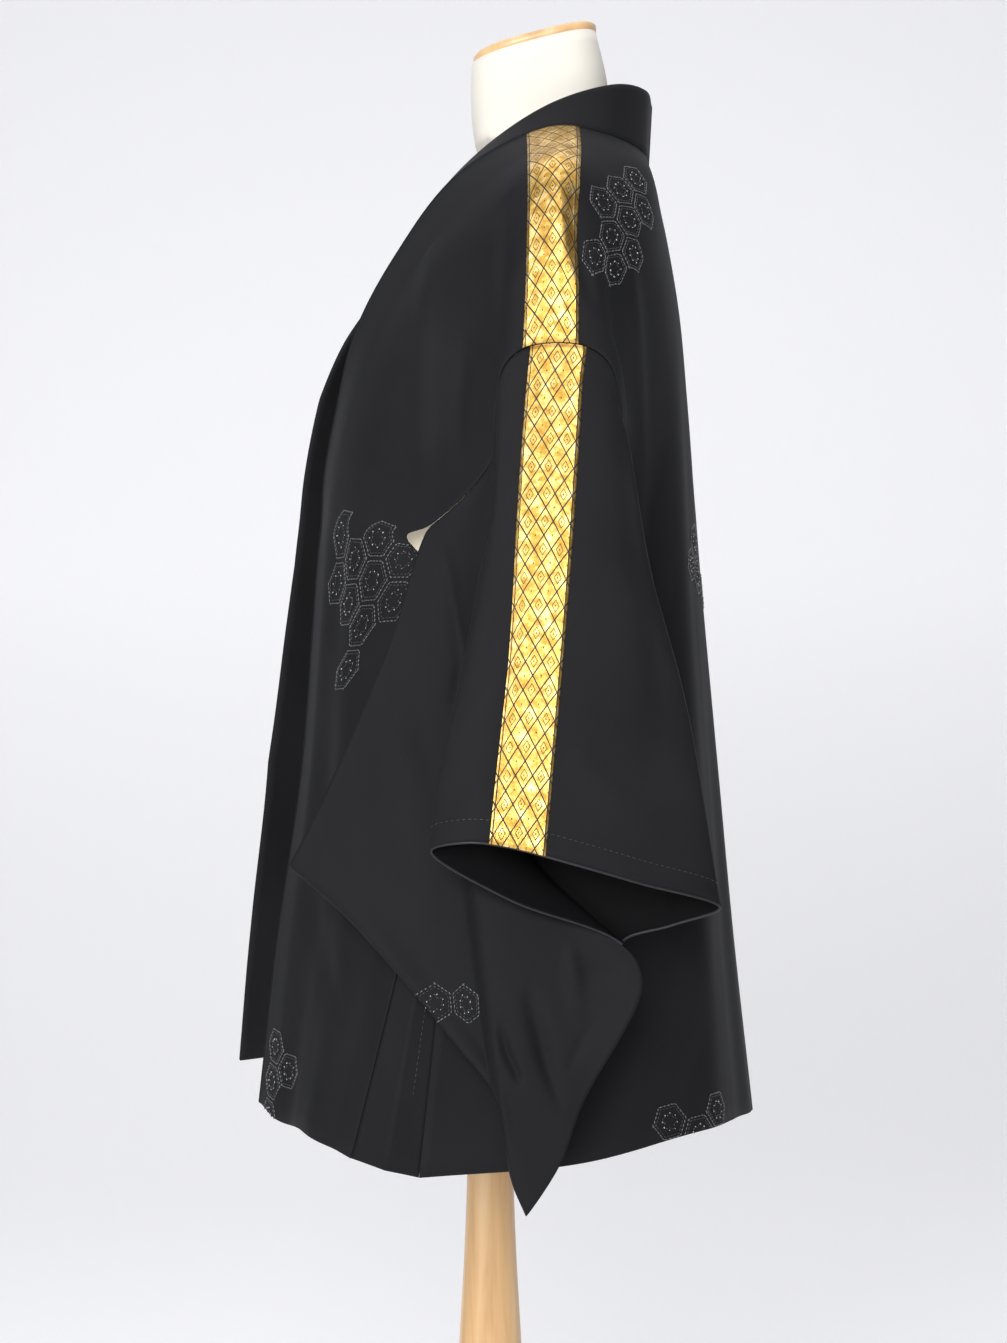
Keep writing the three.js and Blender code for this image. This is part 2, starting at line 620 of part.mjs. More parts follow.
function dressForm() {
  const capFoot = { ...CAP_ROW, z: CAP_ROW.z + TOUCH_GAP };
  const cap = [
    { ...capFoot, half: capFoot.half - CAP_INSET },
    { ...capFoot, z: capFoot.z + CAP_THICKNESS, half: capFoot.half - CAP_INSET },
  ];
  const post = [
    [0, BASE_THICKNESS + TOUCH_GAP],
    ...POST_PROFILE,
    [POST_TOP_RADIUS, FORM_ROWS[0].z - TOUCH_GAP],
    [0, FORM_ROWS[0].z - TOUCH_GAP],
  ];
  const base = [
    [0, 0],
    [BASE_RADIUS, 0],
    [BASE_RADIUS, BASE_THICKNESS - BASE_EDGE],
    [BASE_RADIUS - BASE_EDGE, BASE_THICKNESS],
    [0, BASE_THICKNESS],
  ];
  return [
    piece('form_torso', loft(FORM_ROWS), materials.linen),
    piece('form_neck_cap', loft(cap), materials.beech),
    piece('stand_post', turned(post), materials.beech),
    piece('stand_base', turned(base), materials.beech),
  ];
}

function jacket() {
  const pieces = [];
  const bodies = {};
  const ribbonRise = CLOTH_WALL / 2 + RIBBON_LIFT + RIBBON_WALL / 2;
  for (const [label, side] of [['left', 1], ['right', -1]]) {
    const body = bodyGrid(side);
    bodies[label] = body.map((line) => line.map((p) => p.clone()));
    for (const line of body) {
      if (Math.abs(line[0].x) < SEAM_GAP) line[0].x = (side * SEAM_GAP) / 2;
    }
    const armhole = body
      .slice(ARMHOLE_FRONT_ROW * BODY_STEPS_ALONG, ARMHOLE_BACK_ROW * BODY_STEPS_ALONG + 1)
      .map((line) => new THREE.Vector3(Math.abs(line.at(-1).x), line.at(-1).y, line.at(-1).z));
    const sleeve = sleeveGrid(armhole);
    const topColumn = sleeve[0].reduce((best, p, j) => (p.z > sleeve[0][best].z ? j : best), 0);
    const sleeveRibbon = raised(mirrored(stripAlong(sleeve, topColumn), side), side * ribbonRise);
    const bodyRibbon = raised(bodyRibbonGrid(body), side * ribbonRise);
    pieces.push(
      piece(`body_${label}`, panel(body, CLOTH_WALL), materials.satin),
      piece(`gusset_${label}`, panel(gussetGrid(body, side), CLOTH_WALL), materials.satin),
      piece(`sleeve_${label}`, sleeveWall(sleeve, CLOTH_WALL, SEWN_COLUMNS, side), materials.satin),
      piece(`ribbon_body_${label}`, panel(bodyRibbon, RIBBON_WALL), materials.brocade),
      piece(`ribbon_sleeve_${label}`, panel(sleeveRibbon, RIBBON_WALL), materials.brocade),
    );
  }
  pieces.push(piece('collar', panel(collarGrid(bodies.left, bodies.right), COLLAR_WALL), materials.satin));
  return pieces;
}

const model = new THREE.Group();
model.add(...jacket(), ...dressForm());

export default model;
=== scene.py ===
# %% [markdown]
# # A kimono jacket on a dress form
# A haori is cut from straight strips of cloth: two body panels that run from the front hem over
# the shoulder to the back hem, two bag sleeves, two side gussets and one long collar band. Here it
# hangs open on a limbless form, so every strip curves the way that its weight takes it.
# The frame that comes first holds the solids in metres, +Z up, with the wearer's left at +X.
#
# %% Load the frame
import bpy, math
import numpy as np
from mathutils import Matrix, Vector


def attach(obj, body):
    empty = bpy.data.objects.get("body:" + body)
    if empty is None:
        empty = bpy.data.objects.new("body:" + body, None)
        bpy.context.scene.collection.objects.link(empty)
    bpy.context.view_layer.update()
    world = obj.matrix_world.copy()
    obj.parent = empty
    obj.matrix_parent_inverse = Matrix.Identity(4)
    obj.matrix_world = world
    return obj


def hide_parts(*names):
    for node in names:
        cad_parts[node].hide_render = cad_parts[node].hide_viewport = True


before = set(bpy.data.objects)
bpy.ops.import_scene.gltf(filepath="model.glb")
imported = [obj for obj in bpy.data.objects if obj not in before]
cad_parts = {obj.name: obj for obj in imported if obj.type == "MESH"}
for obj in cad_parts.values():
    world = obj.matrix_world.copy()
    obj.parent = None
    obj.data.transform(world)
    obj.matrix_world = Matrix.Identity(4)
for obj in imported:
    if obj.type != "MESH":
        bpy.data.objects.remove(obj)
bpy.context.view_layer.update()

# %% [markdown]
# ## The lines that the cloth follows
# Cloth has few sharp facts: where its seams run, where it folds and where it ends. Each row below is
# one line across a body panel, in millimetres, from the collar seam (or the centre back) out to the
# armhole, with one point on each of five rails. The sleeve's lines run from the armhole down. A smooth
# curve through such a short table can be read as finely as the render needs, and that is why the
# tables come first and the meshes later.
#
# %% Tables of lines
SIDES = {"left": 1, "right": -1}
RAILS = ("seam", "breast", "ridge", "hollow", "arm")
BODY_ROWS = {
    "front hem": [(72, -184, 614), (112, -166, 606), (146, -146, 607), (173, -123, 600), (194, -104, 594)],
    "front thigh": [(72, -170, 740), (108, -152, 740), (142, -126, 738), (170, -96, 736), (189, -69, 735)],
    "front hip": [(72, -150, 880), (108, -136, 880), (142, -110, 880), (168, -76, 880), (184, -36, 880)],
    "gusset top, front":
        [(72, -141, 995), (108, -128, 995), (142, -103, 996), (168, -68, 998), (182, -16, 1000)],
    "side slit, low":
        [(72, -137, 1050), (108, -125, 1050), (142, -104, 1050), (166, -80, 1049), (178, -50, 1046)],
    "side slit, front":
        [(72, -134, 1080), (108, -124, 1078), (142, -105, 1074), (162, -86, 1069), (174, -63, 1063)],
    "armhole end, front":
        [(72, -132, 1115), (110, -120, 1108), (144, -99, 1098), (170, -70, 1085), (190, -44, 1071)],
    "armhole low, front":
        [(74, -122, 1170), (110, -110, 1160), (144, -86, 1148), (173, -34, 1132), (202, 2, 1118)],
    "armhole mid, front":
        [(78, -107, 1230), (112, -90, 1219), (144, -70, 1200), (174, -19, 1180), (203, 5, 1156)],
    "armhole high, front":
        [(84, -75, 1290), (117, -59, 1276), (152, -45, 1252), (182, -4, 1226), (204, 11, 1188)],
    "shoulder, front side":
        [(94, -24, 1354), (130, -12, 1334), (168, -4, 1302), (195, 13, 1262), (205, 24, 1201)],
    "shoulder line": [(99, 50, 1391), (140, 50, 1369), (184, 49, 1341), (201, 48, 1283), (205, 46, 1206)],
    "shoulder, back side":
        [(90, 93, 1387), (130, 92, 1362), (170, 87, 1322), (197, 79, 1265), (205, 74, 1203)],
    "armhole high, back":
        [(54, 123, 1381), (100, 125, 1352), (144, 118, 1302), (182, 99, 1245), (203, 91, 1190)],
    "armhole mid, back":
        [(0, 130, 1375), (66, 139, 1320), (121, 134, 1265), (168, 111, 1210), (202, 99, 1150)],
    "armhole low, back":
        [(0, 149, 1300), (62, 152, 1245), (116, 142, 1195), (162, 115, 1150), (196, 93, 1100)],
    "armhole end, back":
        [(0, 161, 1200), (61, 159, 1165), (116, 144, 1130), (160, 112, 1100), (188, 80, 1065)],
    "gusset top, back":
        [(0, 173, 1050), (61, 168, 1040), (116, 144, 1028), (160, 98, 1014), (184, 4, 1000)],
    "back hip": [(0, 189, 880), (62, 181, 880), (119, 149, 880), (164, 86, 880), (187, -22, 880)],
    "back thigh": [(0, 202, 740), (63, 192, 738), (123, 156, 736), (170, 84, 734), (193, -36, 732)],
    "back hem": [(0, 218, 595), (64, 204, 601), (128, 162, 603), (178, 80, 588), (202, -52, 581)],
}
SLEEVE_LINES = {
    "bottom_seam": [(185, -150, 815), (195, -108, 779), (206, -70, 739), (214, -26, 687),
        (219, 8, 642), (222.5, 17, 590), (225, 29, 562)],
    "bag_foot_front": [(184, -131, 853), (198, -88, 791), (211.5, -28, 716),
        (220, 17, 648), (227, 53, 598)],
    "bag_low_front": [(184, -111, 896), (200, -62, 800), (216, 0, 712), (228, 69, 640)],
    "bag_high_front": [(187, -74, 983), (201, -52, 908), (210, -20, 838),
        (218.5, 28, 776), (227, 114, 730)],
    "bag_top_front": [(190, -44, 1071), (197, -28, 1010), (203, -12, 945),
        (209, 0, 885), (215, 30, 822), (223.5, 99, 758)],
    "pleat_front": [(200, -9, 1106), (212, -9, 1040), (220, -10, 960),
        (230, -4, 870), (236, 16, 792)],
    "edge_front": [(203, 4, 1137), (217, 3, 1076), (225, -7, 1028),
        (236, -23, 939), (245, -37, 876), (250, -42, 829)],
    "face_front": [(204, 12, 1186), (225, 10, 1080), (243, 2, 970), (262, -16, 836)],
    "top_fold": [(205, 46, 1204), (236, 30, 1015), (261, 13, 833)],
    "face_back": [(205, 73, 1201), (236, 80, 1010), (260, 66, 819)],
    "face_far_back": [(204, 87, 1192), (233, 113, 995), (255, 110, 806)],
    "edge_back": [(202, 97, 1165), (212, 108, 1110), (219, 122, 1030),
        (230, 146, 930), (240, 170, 787)],
    "wrap_back": [(196, 94, 1098), (205, 108, 1000), (213, 122, 890), (223, 135, 772)],
    "bag_top_back": [(188, 80, 1063), (196, 62, 985), (202, 44, 915),
        (207.5, 44, 834), (213.5, 99, 758)],
    "bag_high_back": [(193, 5, 985), (195, -2, 910), (201, 0, 840),
        (210.5, 36, 776), (217, 114, 730)],
    "bag_low_back": [(180, -70, 897), (196, -55, 802), (207, 0, 712), (224, 69, 640)],
    "bag_foot_back": [(181, -108, 857), (194, -84, 792), (206, -28, 716),
        (214.5, 17, 648), (222, 53, 598)],
}
COLLAR_FREE_EDGE = [
    (12, -181, 614), (12, -168, 743), (12, -149, 883), (12, -141, 1000), (13, -137, 1056),
    (13, -134, 1088), (14, -131, 1125), (16, -122, 1180), (22, -107, 1240), (34, -74, 1302),
    (57, -20, 1368), (86, 47, 1411), (74, 98, 1430), (42, 125, 1434), (0, 133, 1430),
]
ROW_NAMES = list(BODY_ROWS)
SHOULDER, NAPE = ROW_NAMES.index("shoulder line"), ROW_NAMES.index("armhole mid, back")
FRONT_FREE, GUSSET_TOP = ROW_NAMES.index("armhole mid, front"), ROW_NAMES.index("gusset top, front")
ARMHOLE_FRONT, ARMHOLE_BACK = ROW_NAMES.index("armhole end, front"), ROW_NAMES.index("armhole end, back")
print(len(BODY_ROWS), "body lines on the rails", RAILS, "and", len(SLEEVE_LINES), "sleeve lines")

# %% [markdown]
# ## A curve through a few points
# A centripetal Catmull-Rom curve passes through every point that it is given and never loops
# between two close ones, which makes it the right curve for cloth edges. `flow` returns a function
# that reads the curve at a share of its length in points, from 0 to 1.
#
# %% Curves
def flow(points, closed=False):
    points = np.asarray(points, float)
    count = len(points)

    def at(shares):
        place = np.atleast_1d(shares) * (count if closed else count - 1)
        i = np.minimum(place.astype(int), count - 1 if closed else count - 2)
        w = (place - i)[:, None]
        if closed:
            p0, p1, p2, p3 = (points[(i + k) % count] for k in (-1, 0, 1, 2))
        else:
            ends = np.vstack([2 * points[0] - points[1], points, 2 * points[-1] - points[-2]])
            p0, p1, p2, p3 = (ends[i + k] for k in (0, 1, 2, 3))
        d0, d1, d2 = (np.sqrt(np.linalg.norm(b - a, axis=1))[:, None]
                      for a, b in ((p0, p1), (p1, p2), (p2, p3)))
        d1 = np.where(d1 < 1e-4, 1, d1)
        d0, d2 = np.where(d0 < 1e-4, d1, d0), np.where(d2 < 1e-4, d1, d2)
        t1 = ((p1 - p0) / d0 - (p2 - p0) / (d0 + d1) + (p2 - p1) / d1) * d1
        t2 = ((p2 - p1) / d1 - (p3 - p1) / (d1 + d2) + (p3 - p2) / d2) * d1
        return p1 + t1 * w + (3 * (p2 - p1) - 2 * t1 - t2) * w ** 2 + (2 * (p1 - p2) + t1 + t2) * w ** 3

    return at


def ease(low, high, value):
    share = np.clip((np.asarray(value, float) - low) / (high - low), 0, 1)
    return share * share * (3 - 2 * share)


def unit(vectors):
    return vectors / np.maximum(np.linalg.norm(vectors, axis=-1, keepdims=True), 1e-9)


print("the curve goes through its points:", flow([(0, 0, 0), (1, 2, 0), (3, 2, 1)])(0.5)[0])

# %% [markdown]
# ## Normals of a grid
# A cloth surface is kept as a grid of points: lines along it and places across it. To give it a wall
# or raise something off it, each point needs a direction of its own, square to the cloth. It is the
# mean of the directions of the faces that meet there, so that even a sharp fold gets a fair one.
# The order of the grid decides which way it points, so what must go outwards is turned by the side.
#
# %% Grid normals
def grid_normals(grid, ring=False):
    total = np.zeros_like(grid)
    for step_along in (1, -1):
        ahead = np.roll(grid, -step_along, axis=0) - grid
        ahead[-1 if step_along > 0 else 0] = 0
        for step_across in (1, -1):
            beside = np.roll(grid, -step_across, axis=1) - grid
            if not ring:
                beside[:, -1 if step_across > 0 else 0] = 0
            total += unit(np.cross(ahead, beside)) * step_along * step_across
    return unit(total)


def lengths(line):
    return np.concatenate([[0], np.cumsum(np.linalg.norm(np.diff(line, axis=0), axis=1))])


# %% [markdown]
# ## The body panels
# The right front swings further forward than the left one and hangs a little higher. Apart from
# that the two panels share one table. Shallow folds run up from both hems, and a fold of positive
# height goes in towards the form.
#
# %% Body grids
BODY_FINE = dict(along=10, across=18)
SPANS, FOLD_END = len(RAILS) - 1, 0.7
BODY_FOLDS = [
    dict(across=1.3, half=0.7, start=0, end=6.5, height=4),
    dict(across=2.6, half=0.8, start=0, end=4, height=-5),
    dict(across=0.9, half=0.6, start=16, end=20, height=5),
    dict(across=1.9, half=0.6, start=14.5, end=20, height=-7),
    dict(across=2.9, half=0.6, start=17, end=20, height=4),
]
RIGHT_FRONT = dict(
    z=(600, 740, 885, 1050, 1190, 1240, 1300),
    edge=(31, 34, 39, 28, 24, 14, 0),
    opens=(26, 28, 28, 26, 18, 9, 0),
    seam=(-10, -11, -12, -10, -6, -3, 0),
)
RIGHT_HEM = dict(lift=17, height=600, zone=250)


def right_front(column, z):
    return np.interp(z, RIGHT_FRONT["z"], RIGHT_FRONT[column])


def on_side(points, side, frontness, edge=False):
    if side > 0:
        return points
    x, y, z = points[..., 0], points[..., 1], points[..., 2]
    near_hem = 1 - ease(RIGHT_HEM["height"], RIGHT_HEM["height"] + RIGHT_HEM["zone"], z)
    forward = right_front("edge" if edge else "seam", z) * frontness
    aside = right_front("opens", z) if edge else 0
    return np.stack([-x - aside, y - forward, z + RIGHT_HEM["lift"] * frontness * near_hem], axis=-1)


def body_grid(side):
    along, across = BODY_FINE["along"], BODY_FINE["across"]
    rails = [flow(rail) for rail in zip(*BODY_ROWS.values())]
    places = np.arange((len(BODY_ROWS) - 1) * along + 1) / along
    shares = places / (len(BODY_ROWS) - 1)
    rail_points = np.stack([rail(shares) for rail in rails], axis=1)
    steps = np.arange(SPANS * across + 1) / across
    grid = np.stack([flow(line)(steps / SPANS) for line in rail_points])
    grid[places >= NAPE, 0, 0] = 0
    height = np.zeros(grid.shape[:2])
    for fold in BODY_FOLDS:
        aside = np.clip(np.abs(steps - fold["across"]) / fold["half"], 0, 1)[None, :]
        run = ((places - fold["start"]) / (fold["end"] - fold["start"]))[:, None]
        from_hem = 1 - run if fold["start"] == 0 else run
        inside = (run >= 0) & (run <= 1)
        height += inside * fold["height"] * np.cos(aside * np.pi / 2) ** 2 * ease(0, FOLD_END, from_hem)
    grid = grid + grid_normals(grid) * height[..., None]
    frontness = (1 - steps / SPANS)[None, :] * (1 - ease(FRONT_FREE, SHOULDER, places))[:, None]
    return on_side(grid, side, frontness)


body = {label: body_grid(side) for label, side in SIDES.items()}
print("one body panel has", body["left"].shape[0], "lines of", body["left"].shape[1], "points")

# %% [markdown]
# ## The sleeves
# A haori sleeve is a flat bag. Only the upper part of its inner edge is sewn to the body, and only
# the upper part of its outer edge is open for the hand. Here the front layer is drawn back under
# itself, so the sleeve shows an arm-wide pipe in front and the hanging bag behind it. The rings run
# round the bag from its bottom seam over the top fold and back. The first ring is moved onto
# the body's armhole, and the shift fades out down the sleeve.
#
# %% Sleeve grid
SLEEVE_FINE = dict(stations=112, around=12)
SEWN_CORNERS = 4
BAG_HALF_DEPTH, BAG_TURN, BAG_CORNERS = 2.6, 2.0, 5
BAG_FOLD = dict(top_y=-16, top_z=805, foot_y=16, foot_z=575, rise=14, softness=4.5,
                width=80, blend=60)
ARMHOLE_GAP, ARMHOLE_BLEND, AIM_RING = 1.2, 30.0, 8


def bag_fold(points):
    fold = BAG_FOLD
    y, z = points[:, 1], points[:, 2]
    run = np.clip((fold["top_z"] - z) / (fold["top_z"] - fold["foot_z"]), 0, 1)
    fold_y = fold["top_y"] + (fold["foot_y"] - fold["top_y"]) * run
    below = 1 - ease(fold["top_z"] - fold["blend"], fold["top_z"] + fold["blend"], z)
    rising = ease(fold_y - fold["softness"], fold_y + fold["softness"], y)
    settling = 1 - ease(fold_y + fold["softness"], fold_y + fold["width"], y)
    return fold["rise"] * rising * settling * below


def sleeve_grid(armhole):
    lines = {name: flow(points) for name, points in SLEEVE_LINES.items()}
    stations, around = SLEEVE_FINE["stations"], SLEEVE_FINE["around"]
    grid = []
    for i in range(stations + 1):
        here = {name: line(i / stations)[0] for name, line in lines.items()}
        seam = here.pop("bottom_seam")
        tip = seam + unit(seam - here["bag_low_front"]) * BAG_TURN
        half = np.array([BAG_HALF_DEPTH, 0, 0])
        corners = [tip, seam + half, *here.values(), seam - half]
        count = len(corners)
        places = [k + step / around for k in range(count) for step in range(around)
                  if 0 < k < count - 1 or step % 4 == 0]
        ring = flow(corners, closed=True)(np.array(places) / count)
        ring[:, 0] += bag_fold(ring) * (1 - ease(BAG_CORNERS - 1, BAG_CORNERS, places))
        grid.append(ring)
    grid = np.array(grid)
    middle = (SHOULDER - ARMHOLE_FRONT) * BODY_FINE["along"]
    wanted = grid[0].copy()
    for half in (armhole[:middle + 1], armhole[middle:]):
        first, last = (int(np.argmin(np.linalg.norm(grid[0] - end, axis=1)))
                       for end in (half[0], half[-1]))
        run = lengths(half)
        target = np.linspace(0, run[-1], last - first + 1)
        edge = np.stack([np.interp(target, run, half[:, k]) for k in range(3)], axis=1)
        forward = unit(np.gradient(edge, axis=0))
        away = grid[AIM_RING, first:last + 1] - edge
        away -= forward * (away * forward).sum(axis=1, keepdims=True)
        wanted[first:last + 1] = edge + unit(away) * ARMHOLE_GAP
    shift = wanted - grid[0]
    for j in range(grid.shape[1]):
        fade = 1 - ease(0, ARMHOLE_BLEND, lengths(grid[:, j]))
        grid[:, j] += shift[j] * fade[:, None]
    return grid


def armhole_edge(label):
    along = BODY_FINE["along"]
    edge = body[label][ARMHOLE_FRONT * along:ARMHOLE_BACK * along + 1, -1].copy()
    edge[:, 0] = np.abs(edge[:, 0])
    return edge


sleeve = {label: sleeve_grid(armhole_edge(label)) for label in SIDES}
print("one sleeve has", sleeve["left"].shape[0], "rings of", sleeve["left"].shape[1], "points")

# %% [markdown]
# ## Collar and gussets
# The collar band runs unbroken from one front hem round the neck to the other. It is folded double,
# so it is thicker than the body. A gusset fills each side below the armhole, with a pressed fold.
# Low down it lies a little deeper than the body, so that the body's edge throws a seam line.
#
# %% Collar and gusset grids
COLLAR_GAP, GUSSET_GAP, CENTRE_GAP = 0.8, 0.4, 0.25
GUSSET = dict(fold=9, across=16, roundness=1.15)
SEAM_STEP = dict(depth=1.3, full_below=790, none_above=860)


def pull_back(grid, column, neighbour, gap):
    toward = grid[:, neighbour] - grid[:, column]
    grid[:, column] += unit(toward) * gap


def half_collar(label, side, across=10):
    along = BODY_FINE["along"]
    places = np.arange(NAPE * along + 1) / along
    free = flow(COLLAR_FREE_EDGE)(places / (len(COLLAR_FREE_EDGE) - 1))
    top = on_side(free, side, 1 - ease(FRONT_FREE, SHOULDER, places), edge=True)
    sewn = body[label][:len(places), 0]
    share = np.linspace(0, 1, across + 1)[None, :, None]
    grid = top[:, None] * (1 - share) + sewn[:, None] * share
    pull_back(grid, -1, -2, COLLAR_GAP)
    return grid


collar = np.concatenate([half_collar("left", 1), half_collar("right", -1)[-2::-1]])


def gusset_grid(label, side):
    panel = body[label]
    rows = GUSSET_TOP * BODY_FINE["along"]
    start, end = panel[:rows + 1, -1], panel[::-1][:rows + 1, -1]
    share = np.linspace(0, 1, GUSSET["across"] + 1)[None, :, None]
    grid = start[:, None] * (1 - share) + end[:, None] * share
    depth = GUSSET["fold"] * side * (1 - np.arange(rows + 1) / rows)[:, None]
    grid[..., 0] += depth * (1 - np.abs(2 * share[..., 0] - 1)) ** GUSSET["roundness"]
    pull_back(grid, 0, 1, GUSSET_GAP)
    pull_back(grid, -1, -2, GUSSET_GAP)
    low = 1 - ease(SEAM_STEP["full_below"], SEAM_STEP["none_above"], grid[..., 2])
    return grid + grid_normals(grid) * (side * SEAM_STEP["depth"] * low)[..., None]


gusset = {label: gusset_grid(label, side) for label, side in SIDES.items()}
for label, side in SIDES.items():
    centre = body[label][:, 0]
    centre[np.abs(centre[:, 0]) < CENTRE_GAP, 0] = CENTRE_GAP * side
print("collar band:", round(lengths(collar[:, 5])[-1]), "mm long")

# %% [markdown]
# ## Creases placed one by one
# Padded satin falls in long soft folds. Each crease below is a path drawn on the cloth as seen from
# the side, or from the front where its row says so, with a half width and a height in millimetres:
# below zero is a trough, above zero a ridge. `at` keeps it to a share of the cloth's width. The push
# fades in from both ends of the path, and the creases are uneven in length and depth. On the far
# side they are of the same kind, in other places.
#
# %% Crease tool
VIEWS = {"side": (1, 2), "front": (0, 2)}
SHARPNESS, TAPER, NARROWING, EDGE_FADE = 2.2, 0.6, 0.45, 0.03


def crease_height(points, path, half, height, view="side", at=(0, 1)):
    flat = points[..., VIEWS[view]]
    path = np.array(path, float)
    run = lengths(path)
    best, where = np.full(flat.shape[:-1], 1e9), np.zeros(flat.shape[:-1])
    for a, b, start in zip(path[:-1], path[1:], run):
        along = b - a
        share = np.clip((flat - a) @ along / (along @ along), 0, 1)
        away = np.linalg.norm(flat - a - share[..., None] * along, axis=-1)
        nearer = away < best
        best = np.where(nearer, away, best)
        where = np.where(nearer, (start + share * np.linalg.norm(along)) / run[-1], where)
    taper = np.clip(4 * where * (1 - where), 0, 1) ** TAPER
    width = half * (1 - NARROWING + NARROWING * taper)
    return height * np.exp(-SHARPNESS * (best / width) ** 2) * taper


def creased(grid, table, outward, where=None):
    height = np.zeros(grid.shape[:2])
    for row in table:
        low, high = row.get("at", (0, 1))
        columns = np.arange(grid.shape[1]) / (grid.shape[1] - 1)
        within = ease(low - EDGE_FADE, low, columns) * (1 - ease(high, high + EDGE_FADE, columns))
        height += crease_height(grid, **row) * within
    if where is not None:
        height *= where
    return grid + outward * height[..., None]


# %% [markdown]
# ### The creases themselves
# The left front has one long soft fold that falls from the shoulder to the armhole's end, and a
# hollow where the shoulder drops. Below the slit the front hem swings out in slanting troughs.
#
# %% Crease tables
BODY_CREASES = {
    "left": [
        dict(path=[(-43, 1297), (-48, 1238), (-51, 1197), (-50, 1127), (-44, 1096)],
             half=13, height=3, at=(0.3, 1)),
        dict(path=[(-18, 1218), (-22, 1170), (-23, 1127)], half=10, height=-2.4, at=(0.5, 1)),
        dict(path=[(16, 1345), (12, 1280), (8, 1212)], half=8, height=-3, at=(0.5, 1)),
        dict(path=[(-150, 800), (-137, 763), (-122, 720), (-112, 690)], half=15, height=-3),
        dict(path=[(-134, 742), (-122, 713), (-110, 682), (-98, 664)], half=9, height=-2.1),
        dict(path=[(-120, 985), (-112, 900), (-118, 830)], half=17, height=2.4),
        dict(path=[(62, 1326), (66, 1280), (78, 1235)], half=10, height=-3.6, at=(0.35, 1)),
        dict(path=[(90, 1290), (97, 1215), (104, 1150)], half=9, height=-3, at=(0.3, 0.9)),
        dict(path=[(104, 1300), (112, 1230), (118, 1120)], half=8, height=2.4, at=(0.2, 0.9)),
        dict(path=[(130, 1140), (123, 1054), (118, 960)], half=12, height=-3, at=(0, 0.8)),
        dict(path=[(150, 930), (155, 830), (168, 700)], half=18, height=3, at=(0, 0.8)),
        dict(path=[(95, 905), (84, 800), (70, 690)], half=20, height=-3.6, at=(0.3, 1)),
        dict(path=[(30, 1330), (27, 1230), (38, 1090)], view="front", half=14, height=-1.8),
    ],
    "right": [
        dict(path=[(-50, 1285), (-58, 1220), (-62, 1150), (-58, 1090)], half=14, height=3,
             at=(0.3, 1)),
        dict(path=[(-24, 1240), (-31, 1185), (-30, 1130)], half=10, height=-2.4, at=(0.5, 1)),
        dict(path=[(14, 1330), (8, 1262)], half=9, height=-2.4, at=(0.5, 1)),
        dict(path=[(-168, 840), (-158, 770), (-140, 700)], half=17, height=-3.6),
        dict(path=[(-150, 690), (-138, 650), (-124, 622)], half=9, height=-1.8),
        dict(path=[(70, 1300), (80, 1240), (88, 1180)], half=11, height=-3, at=(0.3, 1)),
        dict(path=[(112, 1270), (116, 1180), (126, 1080)], half=9, height=2.4, at=(0.2, 0.9)),
        dict(path=[(140, 1090), (136, 1000), (140, 900)], half=13, height=-3, at=(0, 0.8)),
        dict(path=[(110, 860), (96, 760), (88, 660)], half=19, height=-3.6, at=(0.3, 1)),
        dict(path=[(-52, 1290), (-46, 1180), (-58, 1040)], view="front", half=15, height=-2.1),
        dict(path=[(-95, 960), (-90, 840), (-99, 690)], view="front", half=16, height=2.4, at=(0, 0.8)),
    ],
}
SLEEVE_CREASES = {
    "left": [
        dict(path=[(-41, 1068), (-28, 1032), (-25, 1014), (-20, 968), (-26, 930)],
             half=9, height=-4, at=(0.1, 0.24)),
        dict(path=[(-70, 930), (-62, 880), (-45, 812)], half=20, height=-3, at=(0.03, 0.24)),
        dict(path=[(27, 728), (34, 706), (43, 672), (55, 636)], half=8, height=-6.8, at=(0.02, 0.2)),
        dict(path=[(8, 700), (13, 680), (24, 656)], half=6, height=-5.1, at=(0.02, 0.2)),
        dict(path=[(80, 708), (72, 690), (58, 664)], half=7, height=-5.1, at=(0.02, 0.2)),
        dict(path=[(60, 755), (63, 735), (69, 706)], half=7, height=5.1, at=(0.02, 0.2)),
        dict(path=[(108, 748), (90, 736), (68, 742)], half=7, height=-5.1, at=(0.02, 0.2)),
        dict(path=[(20, 1150), (10, 1050), (-6, 950)], half=15, height=-2, at=(0.3, 0.6)),
        dict(path=[(98, 1140), (112, 1040), (126, 930)], half=16, height=-2.5, at=(0.5, 0.72)),
        dict(path=[(60, 900), (96, 862), (130, 842)], half=22, height=2.5, at=(0.5, 0.7)),
        dict(path=[(40, 700), (10, 640), (20, 590)], half=10, height=-3, at=(0.86, 0.98)),
    ],
    "right": [
        dict(path=[(-46, 1052), (-35, 1010), (-30, 950), (-36, 905)], half=10, height=-4, at=(0.1, 0.24)),
        dict(path=[(-90, 905), (-76, 850), (-55, 790)], half=18, height=-3, at=(0.03, 0.24)),
        dict(path=[(20, 742), (30, 700), (36, 655)], half=8, height=-6.8, at=(0.02, 0.2)),
        dict(path=[(76, 728), (66, 700), (46, 668)], half=8, height=-5.1, at=(0.02, 0.2)),
        dict(path=[(58, 690), (54, 655), (42, 620)], half=6, height=5.1, at=(0.02, 0.2)),
        dict(path=[(16, 1120), (6, 1010), (-12, 920)], half=17, height=-2.5, at=(0.3, 0.6)),
        dict(path=[(92, 1120), (104, 1010), (116, 900)], half=14, height=-2, at=(0.5, 0.72)),
    ],
}
CALM = dict(armhole=60, wrist=30)
